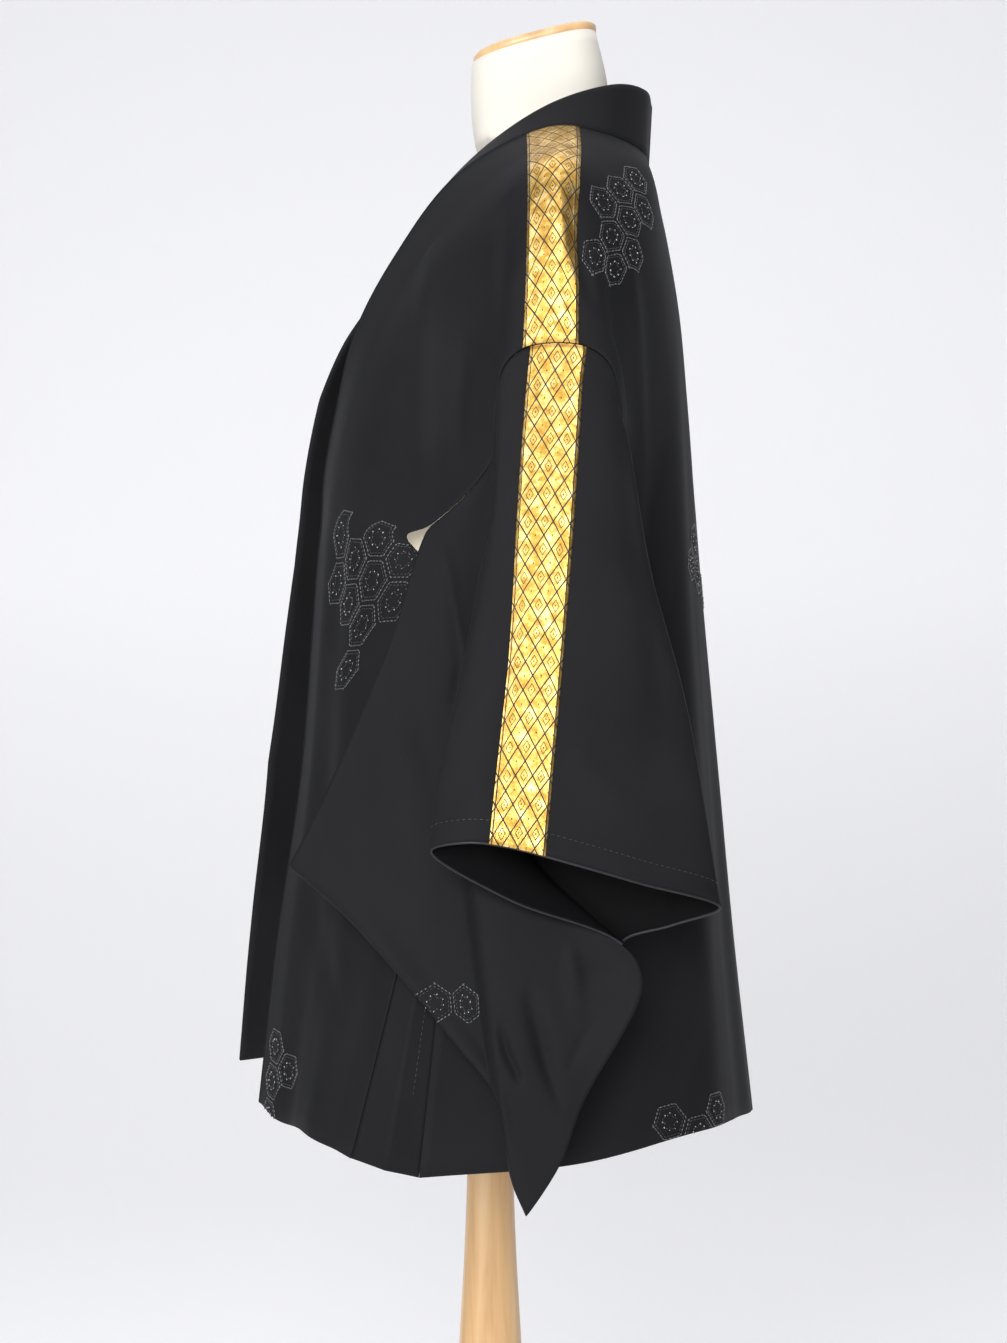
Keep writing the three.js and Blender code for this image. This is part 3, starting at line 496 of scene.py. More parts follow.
for label, side in SIDES.items():
    body[label] = creased(body[label], BODY_CREASES[label], grid_normals(body[label]) * -side)
    away = lengths(sleeve[label][:, 0])[:, None]
    settled = ease(0, CALM["armhole"], away) * (1 - ease(away[-1] - CALM["wrist"], away[-1], away))
    out = grid_normals(sleeve[label], ring=True)
    sleeve[label] = creased(sleeve[label], SLEEVE_CREASES[label], out, settled)
print(sum(len(t) for t in (*BODY_CREASES.values(), *SLEEVE_CREASES.values())), "creases")

# %% [markdown]
# ## From a grid to cloth
# A grid has no thickness, and a renderer needs both faces of a cloth and a rounded edge between
# them. `cloth_panel` writes the outer face, the inner face and a rim, and `cloth_sleeve` does so for
# a bag that is sewn shut over part of its end. The UV map's unit is one metre of cloth, so that a
# weave keeps its size on every piece.
#
# %% Shells
MM, HEM_DRAWN_IN = 0.001, 1.2
made = {}


def placed(name, data):
    thing = bpy.data.objects.new(name, data)
    bpy.context.scene.collection.objects.link(thing)
    return thing


def cloth_uv(grid):
    across = np.array([lengths(line) for line in grid])
    along = np.stack([lengths(grid[:, j]) for j in range(grid.shape[1])], axis=1)
    return np.stack([across, along], axis=-1) * MM


def mesh_piece(name, points, faces, uv, material):
    mesh = bpy.data.meshes.new(name)
    mesh.from_pydata((np.asarray(points) * MM).tolist(), [], faces)
    corners = np.zeros(len(mesh.loops), dtype=int)
    mesh.loops.foreach_get("vertex_index", corners)
    mesh.uv_layers.new(name="cloth").data.foreach_set("uv", np.asarray(uv)[corners].ravel())
    mesh.materials.append(material)
    mesh.polygons.foreach_set("use_smooth", [True] * len(mesh.polygons))
    mesh.update()
    made[name] = placed(name, mesh)
    return made[name]


def flip_if_inside_out(points, faces):
    a, b, c = (points[[f[k] for f in faces]] for k in (0, 1, 2))
    volume = np.einsum("ij,ij->i", a, np.cross(b, c)).sum()
    return [f[::-1] for f in faces] if volume < 0 else faces


def cloth_panel(name, grid, wall, material, roll=0.35):
    rows, columns = grid.shape[:2]
    normals = grid_normals(grid)
    front = (grid + normals * wall / 2).reshape(-1, 3)
    back = (grid - normals * wall / 2).reshape(-1, 3)
    edge = ([(i, 0) for i in range(rows)] + [(rows - 1, j) for j in range(1, columns)]
            + [(i, columns - 1) for i in range(rows - 2, -1, -1)]
            + [(0, j) for j in range(columns - 2, 0, -1)])
    size = rows * columns
    inward = [(min(max(i, 1), rows - 2), min(max(j, 1), columns - 2)) for i, j in edge]
    rim = np.array([grid[e] + unit(grid[e] - grid[n]) * wall * roll for e, n in zip(edge, inward)])
    points = np.vstack([front, back, rim])
    at = lambda i, j: i * columns + j
    faces = []
    for i in range(rows - 1):
        for j in range(columns - 1):
            quad = (at(i, j), at(i + 1, j), at(i + 1, j + 1), at(i, j + 1))
            faces.append(quad)
            faces.append(tuple(size + k for k in quad[::-1]))
    for k, here in enumerate(edge):
        after = edge[(k + 1) % len(edge)]
        a, b = at(*here), at(*after)
        r, s = 2 * size + k, 2 * size + (k + 1) % len(edge)
        faces.append((b, a, r, s))
        faces.append((s, r, size + a, size + b))
    uv = cloth_uv(grid).reshape(-1, 2)
    uv = np.vstack([uv, uv, [uv[at(*e)] for e in edge]])
    return mesh_piece(name, points, flip_if_inside_out(points, faces), uv, material)


def cloth_sleeve(name, grid, wall, sewn, side, material):
    rings, count = grid.shape[:2]
    normals = grid_normals(grid, ring=True)
    outer, inner = grid + normals * wall / 2, grid - normals * wall / 2
    inner[-1] += unit(inner[-2] - inner[-1]) * HEM_DRAWN_IN
    points = np.vstack([outer.reshape(-1, 3), inner.reshape(-1, 3)]) * (side, 1, 1)
    out = lambda i, j: i * count + j % count
    inn = lambda i, j: rings * count + out(i, j)
    faces = []
    for i in range(rings - 1):
        for j in range(count):
            faces.append((out(i, j), out(i + 1, j), out(i + 1, j + 1), out(i, j + 1)))
            faces.append((inn(i, j), inn(i, j + 1), inn(i + 1, j + 1), inn(i + 1, j)))
    faces += [(out(0, j), out(0, j + 1), inn(0, j + 1), inn(0, j)) for j in range(count)]
    end = rings - 1
    faces += [(out(end, j), inn(end, j), inn(end, j + 1), out(end, j + 1))
              for j in range(sewn, count - sewn)]
    faces.append((out(end, 0), out(end, count - 1), out(end, 1)))
    faces.append((inn(end, 0), inn(end, 1), inn(end, count - 1)))
    for j in range(1, sewn):
        faces.append((out(end, j), out(end, count - j), out(end, count - j - 1), out(end, j + 1)))
        faces.append((inn(end, j), inn(end, j + 1), inn(end, count - j - 1), inn(end, count - j)))
    faces.append((out(end, sewn), out(end, count - sewn), inn(end, count - sewn), inn(end, sewn)))
    uv = cloth_uv(grid).reshape(-1, 2)
    piece = mesh_piece(name, points, flip_if_inside_out(points, faces), np.vstack([uv, uv]), material)
    # The inner faces take the lining, whose near-black colour is painted shade inside the bag.
    piece.data.materials.append(lining_with_painted_shade)
    inside = [int(min(f) >= rings * count) for f in faces]
    piece.data.polygons.foreach_set("material_index", inside)
    return piece


# %% [markdown]
# ## Materials
# The jacket is a black satin: long floats of thread that lie side by side, so it is smooth, dark
# and catches a soft broad sheen. Up close the eye finds a fine diagonal grain and slight unevenness
# in the gloss. Every cloth and thread uses the grain, so it is one node group with its own values
# in each, and `woven_material` builds what they share: two tones, the grain's relief and the gloss.
#
# %% Node helpers and the grain group
def new_material(name):
    material = bpy.data.materials.new(name)
    material.use_nodes = True
    tree = material.node_tree
    return material, tree, tree.nodes["Principled BSDF"]


def add(tree, kind, **values):
    node = tree.nodes.new(kind)
    for key, value in values.items():
        setattr(node, key, value)
    return node


def tune(node, values):
    for name, value in values.items():
        node.inputs[name].default_value = value
    return node


def link(tree, *wires):
    for a, output, b, socket in wires:
        tree.links.new(a.outputs[output], b.inputs[socket])


def math_node(tree, operation, a, b=None, c=None):
    node = add(tree, "ShaderNodeMath", operation=operation)
    for socket, value in zip(node.inputs, (a, b, c)):
        if isinstance(value, (int, float)):
            socket.default_value = value
        elif value is not None:
            tree.links.new(value, socket)
    return node.outputs[0]


def new_group(name, kind, inputs, outputs):
    group = bpy.data.node_groups.new(name, kind)
    for label, socket_kind, value in inputs:
        socket = group.interface.new_socket(label, in_out="INPUT", socket_type="NodeSocket" + socket_kind)
        if value is not None:
            socket.default_value = value
    for label, socket_kind in outputs:
        group.interface.new_socket(label, in_out="OUTPUT", socket_type="NodeSocket" + socket_kind)
    return group, add(group, "NodeGroupInput"), add(group, "NodeGroupOutput")


def grain_group(diagonal=0.18, across=0.07):
    group, source, sink = new_group("thread_grain", "ShaderNodeTree", [
        ("Vector", "Vector", None), ("Threads per Metre", "Float", 1400.0), ("Slant", "Float", 1.0),
        ("Unevenness", "Float", 0.5)], [("Height", "Float"), ("Patches", "Float")])
    per_metre = source.outputs["Threads per Metre"]
    split = add(group, "ShaderNodeSeparateXYZ")
    slanted = math_node(group, "MULTIPLY_ADD", split.outputs[1], source.outputs["Slant"], split.outputs[0])
    wave = math_node(group, "SINE", math_node(group, "MULTIPLY", slanted, per_metre))
    cross = math_node(group, "SINE", math_node(group, "MULTIPLY", split.outputs[1], per_metre))
    threads = math_node(group, "MULTIPLY_ADD", wave, diagonal, math_node(group, "MULTIPLY", cross, across))
    fine = tune(add(group, "ShaderNodeTexNoise"), {"Scale": 160.0, "Detail": 4.0})
    broad = tune(add(group, "ShaderNodeTexNoise"), {"Scale": 9.0, "Detail": 3.0})
    uneven = math_node(group, "MULTIPLY", fine.outputs["Fac"], source.outputs["Unevenness"])
    group.links.new(math_node(group, "ADD", threads, uneven), sink.inputs["Height"])
    link(group, (source, "Vector", split, 0), (source, "Vector", fine, "Vector"),
         (source, "Vector", broad, "Vector"), (broad, "Fac", sink, "Patches"))
    return group


grain = grain_group()


def thread_grain(tree, coordinates, output, per_metre, slant, unevenness):
    node = add(tree, "ShaderNodeGroup", node_tree=grain)
    tune(node, {"Threads per Metre": per_metre, "Slant": slant, "Unevenness": unevenness})
    tree.links.new(coordinates.outputs[output], node.inputs["Vector"])
    return node


def bump(tree, height, strength, distance, shader):
    node = tune(add(tree, "ShaderNodeBump"), {"Strength": strength, "Distance": distance})
    tree.links.new(height, node.inputs["Height"])
    link(tree, (node, "Normal", shader, "Normal"))


def ramp(tree, value, stops):
    node = add(tree, "ShaderNodeValToRGB")
    elements = node.color_ramp.elements
    while len(elements) < len(stops):
        elements.new(0.5)
    for element, (place, colour) in zip(elements, stops):
        element.position, element.color = place, (*colour, 1)
    tree.links.new(value, node.inputs["Fac"])
    return node


def woven_material(name, weave, tones, relief, values, by="Patches", mapped=True):
    material, tree, shader = new_material(name)
    if mapped:
        where, output = add(tree, "ShaderNodeUVMap", uv_map="cloth"), "UV"
    else:
        where, output = add(tree, "ShaderNodeTexCoord"), "Object"
    threads = thread_grain(tree, where, output, **weave)
    link(tree, (ramp(tree, threads.outputs[by], tones), "Color", shader, "Base Color"))
    tune(shader, values)
    bump(tree, threads.outputs["Height"], *relief, shader)
    return material, threads.outputs["Patches"]


# %% Satin, and the lining with painted shade
def satin_material():
    material, patches = woven_material(
        "satin_black", dict(per_metre=5200.0, slant=1.0, unevenness=0.9),
        [(0.3, (0.0105, 0.0106, 0.0118)), (0.7, (0.0140, 0.0141, 0.0156))], (0.25, 0.0002),
        {"Specular IOR Level": 0.06, "Sheen Weight": 0.015, "Sheen Roughness": 0.45,
         "Sheen Tint": (0.75, 0.8, 1.0, 1)})
    tree = material.node_tree
    gloss = math_node(tree, "MULTIPLY_ADD", patches, 0.12, 0.55)
    tree.links.new(gloss, tree.nodes["Principled BSDF"].inputs["Roughness"])
    return material


satin = satin_material()
# The lining is a real layer, but it is made far darker than the satin: painted shade for the inside of the
# sleeve's mouth.
lining_with_painted_shade, _ = woven_material(
    "lining_black_with_painted_shade", dict(per_metre=6000.0, slant=0.0, unevenness=0.6),
    [(0.3, (0.0022, 0.0022, 0.0026)), (0.7, (0.0036, 0.0036, 0.0042))], (0.2, 0.0002),
    {"Roughness": 0.7, "Specular IOR Level": 0.06})
print("satin has", len(satin.node_tree.nodes), "nodes")

# %% [markdown]
# ## The cloth pieces
# With the walls and the satin ready, each piece of the cut takes its place. Every one replaces its
# solid, and the cloth pieces print their area, in square metres.
#
# %% Body, gussets, collar and sleeves
CLOTH_WALL, COLLAR_WALL = 1.6, 4.0


def dress(piece, node=None, slot=None):
    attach(piece, "root")
    if node:
        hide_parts(node)
    return piece


def half_surface(piece):
    return sum(p.area for p in piece.data.polygons) / 2


sewn_columns = SEWN_CORNERS * SLEEVE_FINE["around"] + 3
for label, side in SIDES.items():
    panel = cloth_panel(f"cloth_body_{label}", body[label], CLOTH_WALL, satin)
    dress(panel, f"body_{label}", "satin")
    side_panel = cloth_panel(f"cloth_gusset_{label}", gusset[label], CLOTH_WALL, satin)
    dress(side_panel, f"gusset_{label}", "satin")
    bag = cloth_sleeve(f"cloth_sleeve_{label}", sleeve[label], CLOTH_WALL, sewn_columns, side, satin)
    dress(bag, f"sleeve_{label}", "satin")
    print(label, "areas:", [round(half_surface(p), 3) for p in (panel, side_panel, bag)])
band = cloth_panel("cloth_collar", collar, COLLAR_WALL, satin)
dress(band, "collar", "satin")
print("collar area:", round(half_surface(band), 3))

# %% [markdown]
# ## The gold ribbons
# A broad brocade ribbon runs from the collar over the shoulder and down each sleeve. It is laid on
# the cloth: a strip of even width found by walking the cloth either way from its middle line, then
# raised clear of it. The pattern is a nest of lozenges, an old weaver's repeat, drawn in
# the ribbon's own UV map: U runs across it and V along it.
#
# %% Ribbon grids
RIBBON = dict(width=42, wall=0.9, lift=0.35, columns=16, edge_drop=0.25, edge_power=14)


def walk_row(line, start, offsets):
    run = lengths(line)
    target = run[start] + offsets
    return np.stack([np.interp(target, run, line[:, k]) for k in range(3)], axis=1)


def ribbon_grid(lines, middle, side):
    offsets = np.linspace(-0.5, 0.5, RIBBON["columns"] + 1) * RIBBON["width"]
    strip = np.stack([walk_row(line, middle, offsets) for line in lines])
    rise = side * (CLOTH_WALL / 2 + RIBBON["lift"] + RIBBON["wall"] / 2)
    edge = (np.abs(np.linspace(-1, 1, RIBBON["columns"] + 1)) ** RIBBON["edge_power"])[None, :, None]
    return strip + grid_normals(strip) * rise * (1 - RIBBON["edge_drop"] * edge)


ribbons = {}
for label, side in SIDES.items():
    across = np.swapaxes(body[label], 0, 1)
    ribbons[f"body_{label}"] = ribbon_grid(across[1:], SHOULDER * BODY_FINE["along"], side)
    top_column = int(np.argmax(sleeve[label][0][:, 2]))
    ribbons[f"sleeve_{label}"] = ribbon_grid(sleeve[label] * (side, 1, 1), top_column, side)
print("ribbon lengths:", {k: round(lengths(g[:, RIBBON["columns"] // 2])[-1]) for k, g in ribbons.items()})

# %% Gold brocade
LOZENGE = dict(wide=0.0125, tall=0.021, line=0.085, heart=0.42, heart_half=0.045)
BORDER = dict(from_middle=0.0192, half=0.00045)


def zigzag(tree, value):
    share = math_node(tree, "SUBTRACT", math_node(tree, "FRACT", value), 0.5)
    return math_node(tree, "MULTIPLY", math_node(tree, "ABSOLUTE", share), 2)


def near(tree, value, middle, half):
    away = math_node(tree, "ABSOLUTE", math_node(tree, "SUBTRACT", value, middle))
    return math_node(tree, "LESS_THAN", away, half)


def brocade_material():
    material, tree, shader = new_material("brocade_gold")
    uv = add(tree, "ShaderNodeUVMap", uv_map="cloth")
    split = add(tree, "ShaderNodeSeparateXYZ")
    middle = math_node(tree, "SUBTRACT", split.outputs[0], RIBBON["width"] / 2 * MM)
    column = math_node(tree, "MULTIPLY_ADD", middle, 1 / LOZENGE["wide"], 0.5)
    row = math_node(tree, "MULTIPLY", split.outputs[1], 1 / LOZENGE["tall"])
    lozenge = math_node(tree, "ADD", zigzag(tree, column), zigzag(tree, row))
    ground = math_node(tree, "LESS_THAN", math_node(tree, "PINGPONG", lozenge, 0.5), LOZENGE["line"])
    heart = near(tree, lozenge, LOZENGE["heart"], LOZENGE["heart_half"])
    border = near(tree, math_node(tree, "ABSOLUTE", middle), BORDER["from_middle"], BORDER["half"])
    dark = math_node(tree, "MAXIMUM", math_node(tree, "MAXIMUM", ground, heart), border)
    threads = thread_grain(tree, uv, "UV", per_metre=7000.0, slant=0.0, unevenness=0.8)
    # The gold's colour carries a painted reflection: noise and the thread height move it from a dark brown
    # lowlight to a pale painted highlight.
    painted_glint_noise = tune(add(tree, "ShaderNodeTexNoise"), {"Scale": 95.0, "Detail": 7.0, "Roughness": 0.72})
    painted_glint_level = math_node(tree, "MULTIPLY_ADD", threads.outputs["Height"], 0.35, painted_glint_noise.outputs["Fac"])
    gold = ramp(tree, painted_glint_level, [(0.48, (0.36, 0.19, 0.03)), (0.62, (0.60, 0.35, 0.07)),
                            (0.72, (0.80, 0.54, 0.17)), (0.86, (1.0, 0.88, 0.58))])
    colour = tune(add(tree, "ShaderNodeMix", data_type="RGBA"), {"B": (0.012, 0.011, 0.010, 1)})
    tree.links.new(dark, colour.inputs["Factor"])
    tree.links.new(gold.outputs["Color"], colour.inputs["A"])
    tree.links.new(colour.outputs["Result"], shader.inputs["Base Color"])
    tree.links.new(math_node(tree, "MULTIPLY_ADD", dark, -0.95, 0.95), shader.inputs["Metallic"])
    tree.links.new(math_node(tree, "MULTIPLY_ADD", dark, 0.25, 0.3), shader.inputs["Roughness"])
    link(tree, (uv, "UV", split, 0), (uv, "UV", painted_glint_noise, "Vector"))
    relief = math_node(tree, "MULTIPLY_ADD", dark, -1.2, threads.outputs["Height"])
    bump(tree, relief, 0.7, 0.0004, shader)
    return material


brocade = brocade_material()
for name, strip in ribbons.items():
    ribbon = cloth_panel(f"ribbon_cloth_{name}", strip, RIBBON["wall"], brocade)
    length = round(float(lengths(strip[:, RIBBON["columns"] // 2])[-1]) * MM, 3)
    dress(ribbon, f"ribbon_{name}", "brocade")
print("ribbons:", [n for n in made if n.startswith("ribbon")])

# %% [markdown]
# ## Walking on the cloth
# Embroidery is laid out flat, in millimetres, and then sewn onto cloth that is anything but flat.
# `sewn` takes a place on a grid as its anchor and walks from it: first along the cloth, then across
# it. Where the two directions lean on each other, the flat drawing is squared to them first. What
# would fall off the edge of the cloth is left out, as it is when a cut piece ends there.
#
# %% Cloth walking
def fractional(table, i, j):
    i, j = np.clip(i, 0, table.shape[0] - 1.001), np.clip(j, 0, table.shape[1] - 1.001)
    a, b = i.astype(int), j.astype(int)
    s, t = i - a, j - b
    if table.ndim == 3:
        s, t = s[:, None], t[:, None]
    return ((table[a, b] * (1 - t) + table[a, b + 1] * t) * (1 - s)
            + (table[a + 1, b] * (1 - t) + table[a + 1, b + 1] * t) * s)


def cloth_of(grid, side, ring=False):
    run_along = np.stack([lengths(grid[:, j]) for j in range(grid.shape[1])], axis=1)
    run_across = np.array([lengths(line) for line in grid])
    return dict(grid=grid, out=grid_normals(grid, ring) * side, along=run_along, across=run_across)


def sewn(cloth, anchor, flat, rise):
    rows, columns = cloth["along"].shape
    steps_i, steps_j = np.arange(rows), np.arange(columns)
    start_i, start_j = float(anchor[0]), float(anchor[1])
    a, b = int(start_i), int(start_j)
    forward = unit(cloth["grid"][a + 1, b] - cloth["grid"][a - 1, b])
    sideways = unit(cloth["grid"][a, b + 1] - cloth["grid"][a, b - 1])
    slant = float(forward @ sideways)
    square = math.sqrt(1 - slant * slant)
    flat = np.stack([flat[:, 0] - flat[:, 1] * slant / square, flat[:, 1] / square], axis=1)
    column = fractional(cloth["along"], steps_i.astype(float), np.full(rows, start_j))
    target = np.interp(start_i, steps_i, column) + flat[:, 1]
    i = np.interp(target, column, steps_i)
    j, inside = np.zeros(len(flat)), (target > 0) & (target < column[-1])
    for n, (place, offset) in enumerate(zip(i, flat[:, 0])):
        row = fractional(cloth["across"], np.full(columns, place), steps_j.astype(float))
        wanted = np.interp(start_j, steps_j, row) + offset
        j[n] = np.interp(wanted, row, steps_j)
        inside[n] &= 1.0 < wanted < row[-1] - 1.0
    return fractional(cloth["grid"], i, j) + fractional(cloth["out"], i, j) * rise, inside


# %% [markdown]
# ## Threads, cords and beads by Geometry Nodes
# Three small node trees do the sewing. One lays separate stitches along a path, one lays an unbroken
# cord, and one sets a bead on every point. Each is fed a plain mesh of points and edges, and its
# result is kept as an ordinary mesh.
#
# %% Node trees
def sewing_tree(name, inputs):
    return new_group(name, "GeometryNodeTree", [("Geometry", "Geometry", None), *inputs,
                     ("Material", "Material", None)], [("Geometry", "Geometry")])


def finish_tree(tree, source, sink, last, output):
    dressed = add(tree, "GeometryNodeSetMaterial")
    link(tree, (last, output, dressed, "Geometry"), (source, "Material", dressed, "Material"),
         (dressed, "Geometry", sink, "Geometry"))
    return tree


def ball_and_size(tree, source, segments, rings, low, high):
    ball = tune(add(tree, "GeometryNodeMeshUVSphere"), {"Segments": segments, "Rings": rings})
    vary = add(tree, "FunctionNodeRandomValue", data_type="FLOAT")
    vary.inputs[2].default_value, vary.inputs[3].default_value = low, high
    link(tree, (source, "Seed", vary, "Seed"))
    return ball, vary.outputs[1]


def on_points(tree, places, output, ball):
    laid = add(tree, "GeometryNodeInstanceOnPoints")
    real = add(tree, "GeometryNodeRealizeInstances")
    link(tree, (places, output, laid, "Points"), (ball, "Mesh", laid, "Instance"),
         (laid, "Instances", real, "Geometry"))
    return laid, real


def stitch_tree():
    tree, source, sink = sewing_tree("running_stitch", [
        ("Stitch", "Float", 0.0026), ("Gap", "Float", 0.0006), ("Thread Radius", "Float", 0.0004),
        ("Seed", "Int", 3)])
    curve = add(tree, "GeometryNodeMeshToCurve")
    places = add(tree, "GeometryNodeCurveToPoints", mode="LENGTH")
    step = math_node(tree, "ADD", source.outputs["Stitch"], source.outputs["Gap"])
    tree.links.new(step, places.inputs["Length"])
    ball, vary = ball_and_size(tree, source, 6, 4, 0.82, 1.14)
    tune(ball, {"Radius": 1.0})
    size = add(tree, "ShaderNodeCombineXYZ")
    thick = math_node(tree, "MULTIPLY", source.outputs["Thread Radius"], vary)
    half = math_node(tree, "MULTIPLY", source.outputs["Stitch"], 0.56)
    for value, axis in ((thick, "X"), (thick, "Y"), (half, "Z")):
        tree.links.new(value, size.inputs[axis])
    laid, real = on_points(tree, places, "Points", ball)
    link(tree, (source, "Geometry", curve, "Mesh"), (curve, "Curve", places, "Curve"),
         (places, "Rotation", laid, "Rotation"), (size, "Vector", laid, "Scale"))
    return finish_tree(tree, source, sink, real, "Geometry")


def cord_tree():
    tree, source, sink = sewing_tree("cord", [("Step", "Float", 0.006), ("Cord Radius", "Float", 0.0008)])
    curve, even = add(tree, "GeometryNodeMeshToCurve"), add(tree, "GeometryNodeResampleCurve", mode="LENGTH")
    ring = tune(add(tree, "GeometryNodeCurvePrimitiveCircle"), {"Resolution": 8})
    tube = tune(add(tree, "GeometryNodeCurveToMesh"), {"Fill Caps": True})
    link(tree, (source, "Geometry", curve, "Mesh"), (curve, "Curve", even, "Curve"),
         (source, "Step", even, "Length"), (source, "Cord Radius", ring, "Radius"),
         (even, "Curve", tube, "Curve"), (ring, "Curve", tube, "Profile Curve"))
    return finish_tree(tree, source, sink, tube, "Mesh")


def bead_tree():
    tree, source, sink = sewing_tree("beads", [("Bead Radius", "Float", 0.0007), ("Seed", "Int", 5)])
    ball, vary = ball_and_size(tree, source, 7, 5, 0.7, 1.25)
    laid, real = on_points(tree, source, "Geometry", ball)
    link(tree, (source, "Bead Radius", ball, "Radius"))
    tree.links.new(vary, laid.inputs["Scale"])
    return finish_tree(tree, source, sink, real, "Geometry")


def grown(name, paths, tree, material, sizes):
    points = np.vstack(paths) * MM
    edges, first = [], 0
    for path in paths:
        edges += [(first + k, first + k + 1) for k in range(len(path) - 1)]
        first += len(path)
    mesh = bpy.data.meshes.new(name + "_path")
    mesh.from_pydata(points.tolist(), edges, [])
    holder = placed(name + "_path", mesh)
    modifier = holder.modifiers.new("sewing", "NODES")
    modifier.node_group = tree
    values = dict(sizes, Material=material)
    for item in tree.interface.items_tree:
        if item.in_out == "INPUT" and item.name in values:
            modifier[item.identifier] = values[item.name]
    bpy.context.view_layer.update()
    evaluated = holder.evaluated_get(bpy.context.evaluated_depsgraph_get())
    result = bpy.data.meshes.new_from_object(evaluated)
    holder.modifiers.remove(modifier)
    bpy.data.objects.remove(holder)
    result.name = name
    result.polygons.foreach_set("use_smooth", [True] * len(result.polygons))
    made[name] = placed(name, result)
    return made[name]


stitches, cord, beads = stitch_tree(), cord_tree(), bead_tree()
print("trees:", [t.name for t in (stitches, cord, beads)])

# %% Thread and bead materials
def thread_material(name, colour, roughness, specular=0.6, metallic=0.0):
    weave = dict(per_metre=9000.0, slant=0.6, unevenness=1.0)
    # The two tones follow the grain's height, so each thread is painted darker in its low grooves: painted
    # shade between the strands.
    tones = [(0.25, tuple(c * 0.6 for c in colour)), (0.75, colour)]
    values = {"Roughness": roughness, "Specular IOR Level": specular, "Metallic": metallic}
    return woven_material(name, weave, tones, (0.3, 0.0001), values, by="Height", mapped=False)[0]


silk = thread_material("thread_gloss", (0.050, 0.051, 0.057), 0.24, specular=0.9)
silk_dull = thread_material("thread_soft", (0.028, 0.028, 0.032), 0.34)
bead_dark = thread_material("bead_smoke", (0.42, 0.42, 0.44), 0.22, metallic=0.6)
piping = thread_material("piping_black", (0.016, 0.016, 0.018), 0.42, specular=0.35)

# %% [markdown]
# ## Tortoise-shell embroidery
# The old kikko motif is a honeycomb of double-lined hexagons, each with a small flower of beads. Here
# it drifts over the cloth in loose clusters, black on black, so that it shows by its gloss alone.
# A cluster is a list of cells in the honeycomb, counted from an anchor on the cloth.
#
# %% Honeycomb cells
KIKKO = dict(outer=14.6, inner=12.2, pitch_across=24.9, pitch_down=28.6, rise=0.95)
FLOWER = dict(petals=5, radius=4.0, depth=2.4)
BEADS = dict(count=8, radius=6.6, scatter=0.45, rise=0.3)


def hexagon(radius, step=3.2):
    turns = np.radians(np.arange(0, 361, 60))
    corners = np.stack([radius * np.cos(turns), radius * np.sin(turns)], axis=1)
    share = np.linspace(0, 1, int(round(radius / step)) + 1)[:-1, None]
    sides = [a * (1 - share) + b * share for a, b in zip(corners[:-1], corners[1:])]
    return np.vstack([*sides, corners[:1]])


def flower(petals, radius, depth, turn):
    angle = np.linspace(0, 2 * np.pi, petals * 6 + 1)
    reach = radius + depth * np.abs(np.cos(petals * (angle + turn) / 2))
    return np.stack([reach * np.cos(angle), reach * np.sin(angle)], axis=1)


def dots(count, radius, turn):
    angle = np.arange(count) / count * 2 * np.pi + turn
    return np.stack([radius * np.cos(angle), radius * np.sin(angle)], axis=1)


def kept_runs(points, inside):
    runs, run = [], []
    for point, keep in zip(points, inside):
        if keep:
            run.append(point)
            continue
        if len(run) > 1:
            runs.append(np.array(run))
        run = []
    return runs + ([np.array(run)] if len(run) > 1 else [])


def embroider(cloth, cluster, rng):
    bold, fine, spots = [], [], []
    for column, row in cluster["cells"]:
        down = (row + 0.5 * (column % 2)) * KIKKO["pitch_down"]
        centre = np.array([column * KIKKO["pitch_across"], -down * cluster["up"]])
        turn = rng.uniform(0, 1)
        for flat, lines in ((hexagon(KIKKO["outer"]), bold), (hexagon(KIKKO["inner"]), fine),
                            (flower(**FLOWER, turn=turn), fine)):
            points, inside = sewn(cloth, cluster["anchor"], flat + centre, KIKKO["rise"])
            lines += kept_runs(points, inside)
        beads_flat = dots(BEADS["count"], BEADS["radius"], turn) + centre
        beads_flat += rng.normal(0, BEADS["scatter"], beads_flat.shape)
        points, inside = sewn(cloth, cluster["anchor"], beads_flat, KIKKO["rise"] + BEADS["rise"])
        spots.append(points[inside])
    return bold, fine, spots


